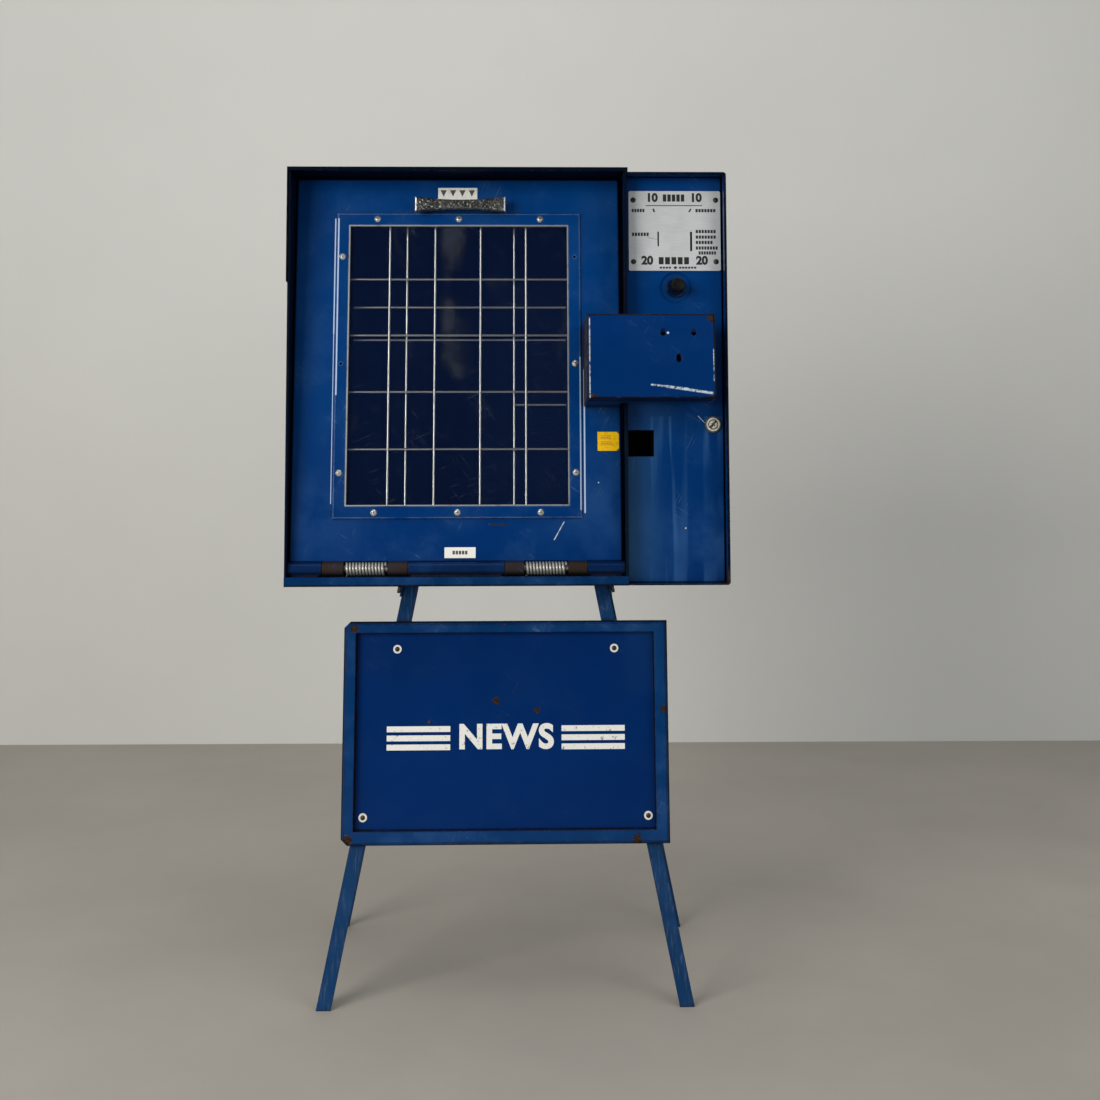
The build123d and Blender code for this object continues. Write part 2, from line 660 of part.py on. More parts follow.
def guard_clips():
    """Four folded straps that hold the guard's border to the door."""
    clips = []
    for side in (-1, 1):
        border = WINDOW_MID + 1.5 + side * GUARD_HALF_H
        outside = WINDOW_MID + side * (WINDOW_HEIGHT / 2 + FRAME_MARGIN - 3.5)
        if side > 0:
            outside += 2
        for x in (WINDOW_X - 30.5, WINDOW_X + 30.5):
            foot = block(x - 8, x + 8, DOOR_SHEET, DOOR_SHEET + 1.2, outside, outside + side * 13)
            riser = block(x - 8, x + 8, DOOR_SHEET, 12.8, outside, outside + side * 1.2)
            arm = block(x - 8, x + 8, 11.6, 12.8, outside + side * 1.2, border - side * 3)
            clips.append(foot + riser + arm)
    return on_door(group(clips))


def paper_bail():
    """Sprung wire gate that presses the display copy against the guard."""
    left = WINDOW_X - 70.8
    right = WINDOW_X + 74.0
    bail = rod(BAIL_ROD, (WINDOW_X - 130, BAIL_Y, BAIL_Z), (WINDOW_X + 130, BAIL_Y, BAIL_Z))
    for x in (left, right):
        bail += rod(BAIL_WIRE, (x, BAIL_Y, BAIL_Z), (x, BAIL_Y, BAIL_TOP))
    bail += rod(BAIL_WIRE, (left, BAIL_Y, BAIL_TOP), (right, BAIL_Y, BAIL_TOP))
    for z in (305.2, 349.9):
        bail += rod(BAIL_WIRE, (WINDOW_X - 143, BAIL_Y + 2.6, z), (WINDOW_X + 144, BAIL_Y + 2.6, z))
    bail += rod(BAIL_WIRE, (right, BAIL_Y + 2.6, 217.0), (WINDOW_X + 144, BAIL_Y + 2.6, 217.0))
    bail += rod(BAIL_WIRE, (right, BAIL_Y, 217.0), (right, BAIL_Y + 3.0, 217.0))
    return on_door(bail)


def bail_clips():
    """Two eyes on the inside of the door that the bail turns in."""
    clips = []
    for side in (-1, 1):
        x = WINDOW_X + side * 100
        clip = rod(4.6, (x - 6, BAIL_Y, BAIL_Z), (x + 6, BAIL_Y, BAIL_Z))
        clip += block(x - 6, x + 6, DOOR_SHEET, BAIL_Y, BAIL_Z - 1.5, BAIL_Z + 1.5)
        clip += block(x - 6, x + 6, DOOR_SHEET, DOOR_SHEET + 1.5, BAIL_Z - 9, BAIL_Z + 8)
        clips.append(clip - rod(BAIL_ROD + RUNNING_FIT, (x - 7, BAIL_Y, BAIL_Z), (x + 7, BAIL_Y, BAIL_Z)))
    return on_door(group(clips))


def pull_handle():
    """Cast bar with a narrow waist and flared ends on two posts."""
    mid = WINDOW_X + 2.5
    up = 481.6
    half = 60.7
    tall = 10.2
    waist = 6.1
    outline = Polyline((mid - half, up + tall), (mid - half, up - tall))
    outline += ThreePointArc((mid - half, up - tall), (mid, up - waist), (mid + half, up - tall))
    outline += Line((mid + half, up - tall), (mid + half, up + tall))
    outline += ThreePointArc((mid + half, up + tall), (mid, up + waist), (mid - half, up + tall))
    bar = extrude(Plane(origin=(0, -13, 0), x_dir=(1, 0, 0), z_dir=(0, -1, 0)) * make_face(outline), 8)
    bar = fillet(bar.faces().sort_by(Axis.Y)[0].edges(), 2.2)
    for x, z in handle_places():
        bar += pin_y(5.5, x, z, -14, 0)
        bar -= pin_y(SCREW_RADIUS, x, z, -11, 1)
    return on_door(bar)


def handle_screws():
    screws = []
    for x, z in handle_places():
        screws.append(Pos(x, DOOR_SHEET, z) * Rot(0, 0, 180) * domed_pin(4.2, 2.2, SCREW_RADIUS, 12))
    return on_door(group(screws))


def oval_y(x, z, width, height, y0, y1):
    """An upright oval bore along Y."""
    face = Plane(origin=(x, y0, z), x_dir=(0, 0, 1), z_dir=(0, 1, 0)) * SlotOverall(height, width)
    return extrude(face, y1 - y0)


def latch_cover():
    """Pressed guard box over the latch, fixed to the door and bridging the divider wall."""
    t = DOOR_SHEET
    box = block(COVER_LEFT, COVER_RIGHT, COVER_FRONT, 0, COVER_LOW, COVER_HIGH)
    box = fillet(box.faces().sort_by(Axis.Y)[0].edges(), 2.0)
    box -= block(COVER_LEFT + t, COVER_RIGHT - t, COVER_FRONT + t, 1, COVER_LOW + t, COVER_HIGH - t)
    edge = DOOR_RIGHT - 2.0
    box -= block(edge, COVER_RIGHT + 1, COVER_NOTCH, 1, COVER_LOW - 1, COVER_HIGH + 1)
    box += block(COVER_LEFT, COVER_LEFT + FLANGE, -t, 0, COVER_LOW, COVER_HIGH)
    box += block(COVER_LEFT, edge, -t, 0, COVER_LOW, COVER_LOW + FLANGE)
    box += block(COVER_LEFT, edge, -t, 0, COVER_HIGH - FLANGE, COVER_HIGH)
    for x, z in ((96.6, 84.6), (135.7, 84.6), (116.2, 52.1)):
        box -= oval_y(COVER_LEFT + x, COVER_LOW + z, 5.2, 8.6, COVER_FRONT - 1, COVER_FRONT + 4)
    return on_door(drill_y(box, cover_rivet_places(), RIVET_RADIUS, -3, 1))


def cover_rivets():
    rivets = []
    for x, z in cover_rivet_places():
        rivets.append(rivet((x, DOOR_SHEET, z), 180, 2 * DOOR_SHEET + 1))
    return on_door(group(rivets))


def door_strike():
    """Plate on the door's right flange with the window that the latch bolt enters."""
    inner = DOOR_RIGHT - DOOR_SHEET
    plate = block(inner - 2.5, inner, DOOR_SHEET, 50, 246, 296)
    return on_door(plate - block(inner - 4, inner + 1, 29, 43, 263, 279))


def sticker(x0, x1, z0, z1):
    return block(x0, x1, -0.3, 0, z0, z1)


def pull_label():
    return on_door(sticker(-91.3, -38.5, 491.8, 509.2))


def asset_label():
    return on_door(sticker(-79.5, -39.0, 13.5, 27.4))


def yellow_sticker():
    return on_door(sticker(121.2, 149.4, 152.8, 177.9))


# ---- coin side ----------------------------------------------------------------------------------
def coin_housing():
    """Outer shell of the coin side: top, right side and bottom, with a hemmed front rim."""
    front = CABINET_FRONT + 1
    rear = CABINET_BACK - SHEET
    right = CABINET_RIGHT - SHEET
    low = CABINET_BOTTOM + SHEET
    high = HOUSING_TOP - SHEET
    shell = block(DIVIDER, CABINET_RIGHT, front, rear, CABINET_BOTTOM, HOUSING_TOP)
    shell = fillet(shell.edges().filter_by(Axis.Y).group_by(Axis.X)[-1], 4.0)
    shell -= block(DIVIDER - 1, right, front - 1, rear + 1, low, high)
    shell += block(right - SHEET, right, front, front + HEM_DEPTH, low, high)
    shell += block(DIVIDER + SHEET, right, front, front + HEM_DEPTH, high - SHEET, high)
    shell += block(right - FLANGE, right, rear - SHEET, rear, low, high)
    shell += block(DIVIDER, DIVIDER + SHEET, PANEL_Y + 40, rear, high - FLANGE, high)
    shell += block(DIVIDER, DIVIDER + SHEET, PANEL_Y + 40, rear, low, low + FLANGE)
    stop = PANEL_Y + 12.3
    shell += block(DIVIDER + 20, right - 20, stop, stop + SHEET, high - 12, high)
    shell += block(DIVIDER + 20, right - 20, stop, stop + SHEET, low, low + 12)
    shell += block(right - 8, right, PANEL_Y + 20, PANEL_Y + 21.6, LOCK_Z - 17, LOCK_Z + 17)
    return drill_y(shell, back_rivet_places(), RIVET_RADIUS, CABINET_BACK - 8, CABINET_BACK)


def coin_panel():
    """Recessed front panel, a shallow tray that the lock holds in the housing."""
    left = DIVIDER + 0.6
    right = CABINET_RIGHT - 2 * SHEET - 0.6
    low = CABINET_BOTTOM + SHEET + 0.8
    high = HOUSING_TOP - SHEET - 0.8
    tray = block(left, right, PANEL_Y, PANEL_Y + 12, low, high)
    tray -= block(left - 1, right - SHEET, PANEL_BACK, PANEL_Y + 13, low + SHEET, high - SHEET)
    dish = Plane(origin=(BUTTON_X, PANEL_Y - 0.01, BUTTON_Z), z_dir=(0, 1, 0))
    tray += pin_y(21.5, BUTTON_X, BUTTON_Z, PANEL_BACK - 0.1, PANEL_BACK + 1.0)
    tray -= extrude(dish * Circle(21.0), 1.4, taper=55)
    tray -= pin_y(10.0, BUTTON_X, BUTTON_Z, PANEL_Y - 1, PANEL_Y + 9)
    tray -= pin_y(9.6, LOCK_X, LOCK_Z, PANEL_Y - 1, PANEL_BACK + 1)
    tray -= block(left - 1, RETURN_RIGHT, PANEL_Y - 1, PANEL_BACK + 1, RETURN_LOW, RETURN_HIGH)
    for x, z, half in ((DIME_X, DIME_Z, 12), (QUARTER_X, QUARTER_Z, 15)):
        tray -= block(x - 2.5, x + 2.5, PANEL_Y - 1, PANEL_BACK + 1, z - half, z + half)
    return drill_y(tray, plate_screw_places(), 1.5, PANEL_Y - 1, PANEL_BACK + 1)


def price_plate():
    """Aluminium plate with the coin slots."""
    thickness = 1.2
    front = PANEL_Y - thickness
    plate = block(COIN_MID - 61.4, COIN_MID + 61.4, front, PANEL_Y, PLATE_MID - 53.7, PLATE_MID + 53.7)
    plate = fillet(plate.edges().filter_by(Axis.Y), 2.5)
    plate -= block(DIME_X - 1.0, DIME_X + 1.0, front - 1, PANEL_Y + 1, DIME_Z - 9.8, DIME_Z + 9.8)
    plate -= block(QUARTER_X - 1.4, QUARTER_X + 1.4, front - 1, PANEL_Y + 1, QUARTER_Z - 13, QUARTER_Z + 13)
    return drill_y(plate, plate_screw_places(), 1.5, front - 1, PANEL_Y + 1)


def plate_screws():
    return group([dome_screw(x, PANEL_Y - 1.2, z, 3.6, 1.6, 1.5, 6) for x, z in plate_screw_places()])


def button_guide():
    seat = PANEL_Y + 1.39
    flange = pin_y(13.0, BUTTON_X, BUTTON_Z, PANEL_Y - 3, seat)
    flange = fillet(flange.faces().sort_by(Axis.Y)[0].edges(), 1.5)
    sleeve = pin_y(9.95, BUTTON_X, BUTTON_Z, seat, PANEL_Y + 12)
    return flange + sleeve - pin_y(6.4 + RUNNING_FIT, BUTTON_X, BUTTON_Z, PANEL_Y - 4, PANEL_Y + 13)


def return_button():
    """Push rod with an eight-sided black head."""
    head = Plane(origin=(BUTTON_X, PANEL_Y - 12, BUTTON_Z), z_dir=(0, -1, 0)) * RegularPolygon(9.4, 8)
    button = extrude(head, 18)
    button = fillet(button.faces().sort_by(Axis.Y)[0].edges(), 1.5)
    return button + pin_y(6.4, BUTTON_X, BUTTON_Z, PANEL_Y - 13, RETURN_PIVOT_Y - 5.5)


def button_clip():
    """Retaining clip that keeps the push rod from pulling out."""
    front = PANEL_Y + 13.5
    clip = pin_y(9.5, BUTTON_X, BUTTON_Z, front, front + 1)
    return clip - pin_y(6.42, BUTTON_X, BUTTON_Z, front - 1, front + 2)


def return_lever():
    """Hanging lever that the push rod swings back to open the coin return."""
    hub_radius = 5.0
    length = 44.0
    front = RETURN_PIVOT_Y - hub_radius + 0.1
    lever = block(BUTTON_X - 5, BUTTON_X + 5, front, front + 3, RETURN_PIVOT_Z - length, RETURN_PIVOT_Z)
    for radius, half in ((hub_radius, 7.0), (PIN_RADIUS, 14.0)):
        left = (BUTTON_X - half, RETURN_PIVOT_Y, RETURN_PIVOT_Z)
        right = (BUTTON_X + half, RETURN_PIVOT_Y, RETURN_PIVOT_Z)
        lever += rod(radius, left, right)
    return lever


def coin_mech_plate():
    """Plate behind the coin panel that carries both levers, with a flange on the divider wall."""
    plate = block(DIVIDER, 276, MECH_Y, MECH_Y + 2, 770, 1040)
    plate += block(DIVIDER, DIVIDER + 2, MECH_Y, MECH_Y + 24, 770, 1040)
    for side in (-1, 1):
        x0, x1 = sorted((BUTTON_X + side * 9, BUTTON_X + side * 11))
        plate += block(x0, x1, RETURN_PIVOT_Y - 8, MECH_Y, RETURN_PIVOT_Z - 8, RETURN_PIVOT_Z + 8)
    bore = (BUTTON_X - 12, RETURN_PIVOT_Y, RETURN_PIVOT_Z), (BUTTON_X + 12, RETURN_PIVOT_Y, RETURN_PIVOT_Z)
    plate -= rod(PIN_RADIUS + RUNNING_FIT, *bore)
    plate += block(227, 229, LATCH_Y - 7, MECH_Y, LATCH_Z - 8, LATCH_Z + 8)
    x, z = lever_pivot()
    return plate + pin_y(PIN_RADIUS, x, z, MECH_Y - 8.5, MECH_Y)


def latch_bolt():
    """Square bolt, drawn back; it slides towards -X through the divider into the strike."""
    bolt = block(BOLT_TIP, BOLT_TIP + BOLT_LENGTH, LATCH_Y - 4, LATCH_Y + 4, LATCH_Z - 5, LATCH_Z + 5)
    return bolt + pin_y(2.5, BOLT_PIN_X, LATCH_Z, LATCH_Y + 3.9, LATCH_Y + 10.5)


def latch_guide():
    guide = block(DIVIDER, DIVIDER + GUIDE_LENGTH, LATCH_Y - 8, LATCH_Y + 8, LATCH_Z - 9, LATCH_Z + 9)
    guide += block(DIVIDER, DIVIDER + 2, LATCH_Y - 13, LATCH_Y + 12.9, LATCH_Z - 20, LATCH_Z + 20)
    fit = RUNNING_FIT
    return guide - block(
        DIVIDER - 1, DIVIDER + GUIDE_LENGTH + 1,
        LATCH_Y - 4 - fit, LATCH_Y + 4 + fit,
        LATCH_Z - 5 - fit, LATCH_Z + 5 + fit,
    )


def latch_spring():
    gap_start = BOLT_TIP + BOLT_LENGTH
    wire = 1.0
    turns = 7
    pitch = (227 - gap_start - wire - 1) / turns
    return coil(3.6, wire, pitch, turns, (gap_start + 1, LATCH_Y, LATCH_Z), (1, 0, 0), (0, 1, 0))


def lever_pivot():
    """Pivot of the release lever, above the middle of the bolt pin's travel."""
    drop = LEVER_REACH * math.cos(math.radians(LEVER_SWING))
    return BOLT_PIN_X - LATCH_TRAVEL / 2, LATCH_Z + drop


def release_lever():
    """Coin-tripped lever whose fork drives the bolt pin."""
    thickness = 3.0
    arm = block(-6, 6, 0, thickness, -LEVER_REACH - 6, 25)
    arm += pin_y(8, 0, 0, 0, thickness)
    arm += block(-6, 6, 0, thickness, -LEVER_REACH - 6, -LEVER_REACH + 6)
    arm -= block(-2.8, 2.8, -1, thickness + 1, -LEVER_REACH - 7, -LEVER_REACH + 4)
    arm -= pin_y(PIN_RADIUS + RUNNING_FIT, 0, 0, -1, thickness + 1)
    x, z = lever_pivot()
    return Pos(x, LATCH_Y + 6.0, z) * Rot(0, -LEVER_SWING, 0) * arm


def chute(x, slot_z, half):
    """A flat sheet tube that leads coins from a slot down to the cash box."""
    front = PANEL_BACK + 1.1
    back = LATCH_Y - 9.0
    tube = block(x - 4, x + 4, front, back, 700, slot_z + half + 5)
    tube -= block(x - 2.8, x + 2.8, front + 1.2, back - 1.2, 699, slot_z + half + 3.8)
    tube -= block(x - 2.5, x + 2.5, front - 1, front + 2, slot_z - half, slot_z + half)
    for z in (776, 1002):
        tube += block(x - 4, x + 4, back - 0.5, MECH_Y, z, z + 6)
    return tube


def coin_return_cup():
    left = DIVIDER + SHEET
    right = RETURN_RIGHT + SHEET
    low = RETURN_LOW - SHEET
    high = RETURN_HIGH + SHEET
    back = PANEL_BACK + 38
    cup = block(left, right, PANEL_BACK, back, low, high)
    return cup - block(left + SHEET, right - SHEET, PANEL_BACK - 1, back - SHEET, low + SHEET, high - SHEET)


def cash_box():
    wall_t = 1.2
    box = block(166, 279, -145, 120, 542, 688)
    box -= block(166 + wall_t, 279 - wall_t, -145 + wall_t, 120 - wall_t, 542 + wall_t, 689)
    return box - Pos(COIN_MID, -145, 672) * Rot(90, 0, 0) * Cylinder(10, 6)


# ---- lock ---------------------------------------------------------------------------------------
def lock_housing():
    body = pin_y(9.5, LOCK_X, LOCK_Z, PANEL_Y, PANEL_Y + 20)
    rim = pin_y(10.8, LOCK_X, LOCK_Z, PANEL_Y - 2.5, PANEL_Y)
    rim = fillet(rim.faces().sort_by(Axis.Y)[0].edges(), 1.2)
    return body + rim - pin_y(6.0 + RUNNING_FIT, LOCK_X, LOCK_Z, PANEL_Y - 4, PANEL_Y + 21)


def lock_plug():
    plug = pin_y(6.0, LOCK_X, LOCK_Z, PANEL_Y - 3, PANEL_Y + 20)
    plug += pin_y(4.0, LOCK_X, LOCK_Z, PANEL_Y + 19, PANEL_Y + 26)
    keyway = Rot(0, 40, 0) * block(-0.8, 0.8, -10, 5, -4.2, 4.2)
    return plug - Pos(LOCK_X, PANEL_Y, LOCK_Z) * keyway


def lock_nut():
    return hexagon(22, (LOCK_X, PANEL_BACK, LOCK_Z), (0, 1, 0), 5, 9.55)


def lock_cam():
    """Tongue that hooks behind the catch on the housing wall."""
    front = PANEL_Y + 21.8
    cam = pin_y(8, LOCK_X, LOCK_Z, front, front + 2)
    cam += block(LOCK_X, LOCK_X + 13.6, front, front + 2, LOCK_Z - 6, LOCK_Z + 6)
    return cam - pin_y(4.02, LOCK_X, LOCK_Z, front - 1, front + 3)


def cam_screw():
    front = PANEL_Y + 26
    return pin_y(6.5, LOCK_X, LOCK_Z, front, front + 2)


# ---- write every node ---------------------------------------------------------------------------
def all_nodes():
    nodes = {
        "left_side_panel": left_side_panel(),
        "divider_panel": divider_panel(),
        "floor_panel": floor_panel(),
        "back_panel": back_panel(),
        "rain_hood": rain_hood(),
        "cabinet_rivets": cabinet_rivets(),
        "stand_rails": group([stand_rail(-1), stand_rail(1)]),
        "front_left_leg": leg(FRONT_FOOT, FRONT_HEAD, -1),
        "front_right_leg": leg(FRONT_FOOT, FRONT_HEAD, 1),
        "rear_left_leg": leg(REAR_FOOT, REAR_HEAD, -1),
        "rear_right_leg": leg(REAR_FOOT, REAR_HEAD, 1),
        "side_braces": group([side_brace(-1), side_brace(1)]),
        "rear_brace": rear_brace(),
        "stand_bolts": stand_bolts(),
        "stand_nuts": stand_nuts(),
        "card_frame": card_frame(),
        "card_panel": card_panel(),
        "card_washers": card_washers(),
        "card_screws": card_screws(),
        "hinge_rod": hinge_rod(),
        "hinge_sleeves": hinge_sleeves(),
        "door_springs": group([door_spring(span) for span in SPRING_SPANS]),
        "door_panel": door_panel(),
        "door_knuckles": door_knuckles(),
        "window_frame": window_frame(),
        "window_trim": window_trim(),
        "window_pane": window_pane(),
        "window_screws": window_screws(),
        "window_nuts": window_nuts(),
        "wire_guard": wire_guard(),
        "guard_clips": guard_clips(),
        "paper_bail": paper_bail(),
        "bail_clips": bail_clips(),
        "pull_handle": pull_handle(),
        "handle_screws": handle_screws(),
        "latch_cover": latch_cover(),
        "cover_rivets": cover_rivets(),
        "door_strike": door_strike(),
        "pull_label": pull_label(),
        "asset_label": asset_label(),
        "yellow_sticker": yellow_sticker(),
        "coin_housing": coin_housing(),
        "coin_panel": coin_panel(),
        "price_plate": price_plate(),
        "plate_screws": plate_screws(),
        "button_guide": button_guide(),
        "return_button": group([return_button(), button_clip()]),
        "return_lever": return_lever(),
        "coin_mech_plate": coin_mech_plate(),
        "latch_bolt": latch_bolt(),
        "latch_guide": latch_guide(),
        "latch_spring": latch_spring(),
        "release_lever": release_lever(),
        "coin_chutes": group([chute(DIME_X, DIME_Z, 12), chute(QUARTER_X, QUARTER_Z, 15)]),
        "coin_return_cup": coin_return_cup(),
        "cash_box": cash_box(),
        "lock_housing": lock_housing(),
        "lock_plug": lock_plug(),
        "lock_nut": lock_nut(),
        "lock_cam": group([lock_cam(), cam_screw()]),
    }
    return nodes


os.makedirs("parts", exist_ok=True)
for name, shape in all_nodes().items():
    placed = group([Pos(-FOOTPRINT_X, -FOOTPRINT_Y, 0) * solid for solid in shape.solids()])
    export_step(placed, "parts/" + name + ".step")
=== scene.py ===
"""Looks of the newspaper vending box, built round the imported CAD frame.

Metres. +Z is up, the door faces -Y and +X is to the viewer's right.
"""

import math
from types import SimpleNamespace

import bmesh
import bpy
from mathutils import Matrix, Vector


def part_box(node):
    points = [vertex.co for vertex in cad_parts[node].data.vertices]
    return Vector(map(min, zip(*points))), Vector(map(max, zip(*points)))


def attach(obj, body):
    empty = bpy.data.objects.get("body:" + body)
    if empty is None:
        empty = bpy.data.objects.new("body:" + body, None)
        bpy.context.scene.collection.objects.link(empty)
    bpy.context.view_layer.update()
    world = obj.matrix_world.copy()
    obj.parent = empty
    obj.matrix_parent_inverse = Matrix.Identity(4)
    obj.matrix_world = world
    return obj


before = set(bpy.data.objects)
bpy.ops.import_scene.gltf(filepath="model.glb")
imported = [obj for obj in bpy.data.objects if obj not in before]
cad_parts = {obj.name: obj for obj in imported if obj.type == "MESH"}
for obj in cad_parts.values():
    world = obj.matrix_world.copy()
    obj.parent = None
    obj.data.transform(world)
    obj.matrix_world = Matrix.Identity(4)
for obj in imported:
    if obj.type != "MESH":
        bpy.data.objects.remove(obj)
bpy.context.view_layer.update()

MM = 0.001

# ---- colours, linear ----
BLUE = (0.0, 0.0375, 0.168)            # cabinet, door and coin housing
BLUE_DEEP = (0.0, 0.0265, 0.132)       # hood and latch cover
BLUE_CARD = (0.0, 0.0205, 0.113)
BLUE_FRAME = (0.0010, 0.0320, 0.1260)  # rim round the card
BLUE_FLOOR = (0.001, 0.026, 0.098)
BLUE_LOW_SHADE = (0.0, 0.012, 0.085)         # painted shade near the bottom
# chalky film; on the coin panel it also colours painted reflections
BLUE_CHALK_AND_SHEEN = (0.016, 0.070, 0.215)
BLUE_STAND = (0.0045, 0.036, 0.112)
BLUE_HINGE = (0.0, 0.0145, 0.068)
BLUE_GUIDE = (0.0, 0.008, 0.030)
# painted shade of unlit inner surfaces
INSIDE_SHADE = (0.0016, 0.0100, 0.046)
RUBBED = (0.075, 0.105, 0.150)         # leg paint rubbed along its length
# painted reflection of upright light bands
REFLECTION_BLUE = (0.030, 0.105, 0.270)
EDGE_DARK = (0.0035, 0.0060, 0.0140)
# painted highlight along edges
EDGE_HIGHLIGHT = (0.160, 0.260, 0.460)
GLINT = (0.42, 0.53, 0.74)
PALE_CHIP = (0.50, 0.56, 0.62)
# painted shade on front hems and in unlit spaces
HEM_SHADE = (0.0012, 0.0030, 0.0080)
LINE_DARK = (0.0060, 0.0050, 0.0050)
# painted shade in holes, gaps and behind the latch cover
SHADE_BLACK = (0.0010, 0.0012, 0.0016)
# dirt colour laid in corners, painted shade there as well
DIRT_AND_SHADE = (0.010, 0.009, 0.008)
PRIMER = (0.020, 0.014, 0.011)
RUST = (0.050, 0.025, 0.014)
RUST_PALE = (0.150, 0.115, 0.085)
RUST_DARK = (0.016, 0.010, 0.008)
RUST_KNUCKLE = (0.030, 0.019, 0.013)
# painted highlights on the handle's edges and ends
HIGHLIGHT_WHITE = (0.90, 0.90, 0.87)
PEWTER = (0.082, 0.082, 0.080)
PEWTER_DARK = (0.016, 0.016, 0.017)
# painted glints on the hammered handle
PEWTER_GLINT = (0.52, 0.52, 0.49)
# the lock face's sheen, painted into its colour
LOCK_SHEEN = (0.98, 0.94, 0.82)
LOCK_WORN = (0.45, 0.41, 0.32)
ZINC = (0.36, 0.36, 0.34)
ZINC_DULL = (0.10, 0.09, 0.08)
BRUSHED = (0.70, 0.725, 0.725)
BRASS = (0.50, 0.40, 0.22)
SCREW = (0.72, 0.72, 0.69)
SCREW_BROWN = (0.10, 0.085, 0.07)
BOLT = (0.16, 0.15, 0.14)
WIRE = (1.0, 1.0, 0.94)
SPRING = (0.52, 0.51, 0.47)
TRIM = (0.40, 0.41, 0.42)
TRIM_DULL = (0.03, 0.035, 0.045)
PLASTIC_BLACK = (0.004, 0.004, 0.004)
PLASTIC_WORN = (0.012, 0.012, 0.013)
PLASTIC_EDGE = (0.07, 0.07, 0.075)
# painted shade inside the coin return cup
HOLE_DARK = (0.0012, 0.0012, 0.0014)
HOLE_PALE = (0.004, 0.004, 0.005)
HAZE_BLUE = (0.0, 0.06, 0.36)
HAZE_PALE = (0.20, 0.25, 0.40)
CLEAR = (0.95, 0.95, 0.94)
INK = (0.008, 0.008, 0.009)
INK_GREY = (0.06, 0.06, 0.06)
INK_OCHRE = (0.45, 0.24, 0.01)
PAPER = (0.74, 0.73, 0.68)
PAPER_DIRT = (0.30, 0.29, 0.26)
TAG_DIRT = (0.45, 0.43, 0.38)
WASHER = (0.72, 0.71, 0.66)
WASHER_DIRT = (0.16, 0.15, 0.14)
YELLOW = (0.90, 0.52, 0.001)
YELLOW_DIRT = (0.16, 0.09, 0.01)
CREAM = (0.80, 0.79, 0.74)
FLOOR_PALE = (0.40, 0.37, 0.325)
WALL_PALE = (0.66, 0.655, 0.62)


def new_object(name, data):
    made = bpy.data.objects.new(name, data)
    bpy.context.scene.collection.objects.link(made)
    return made


def darker(colour, share):
    return tuple(value * share for value in colour)


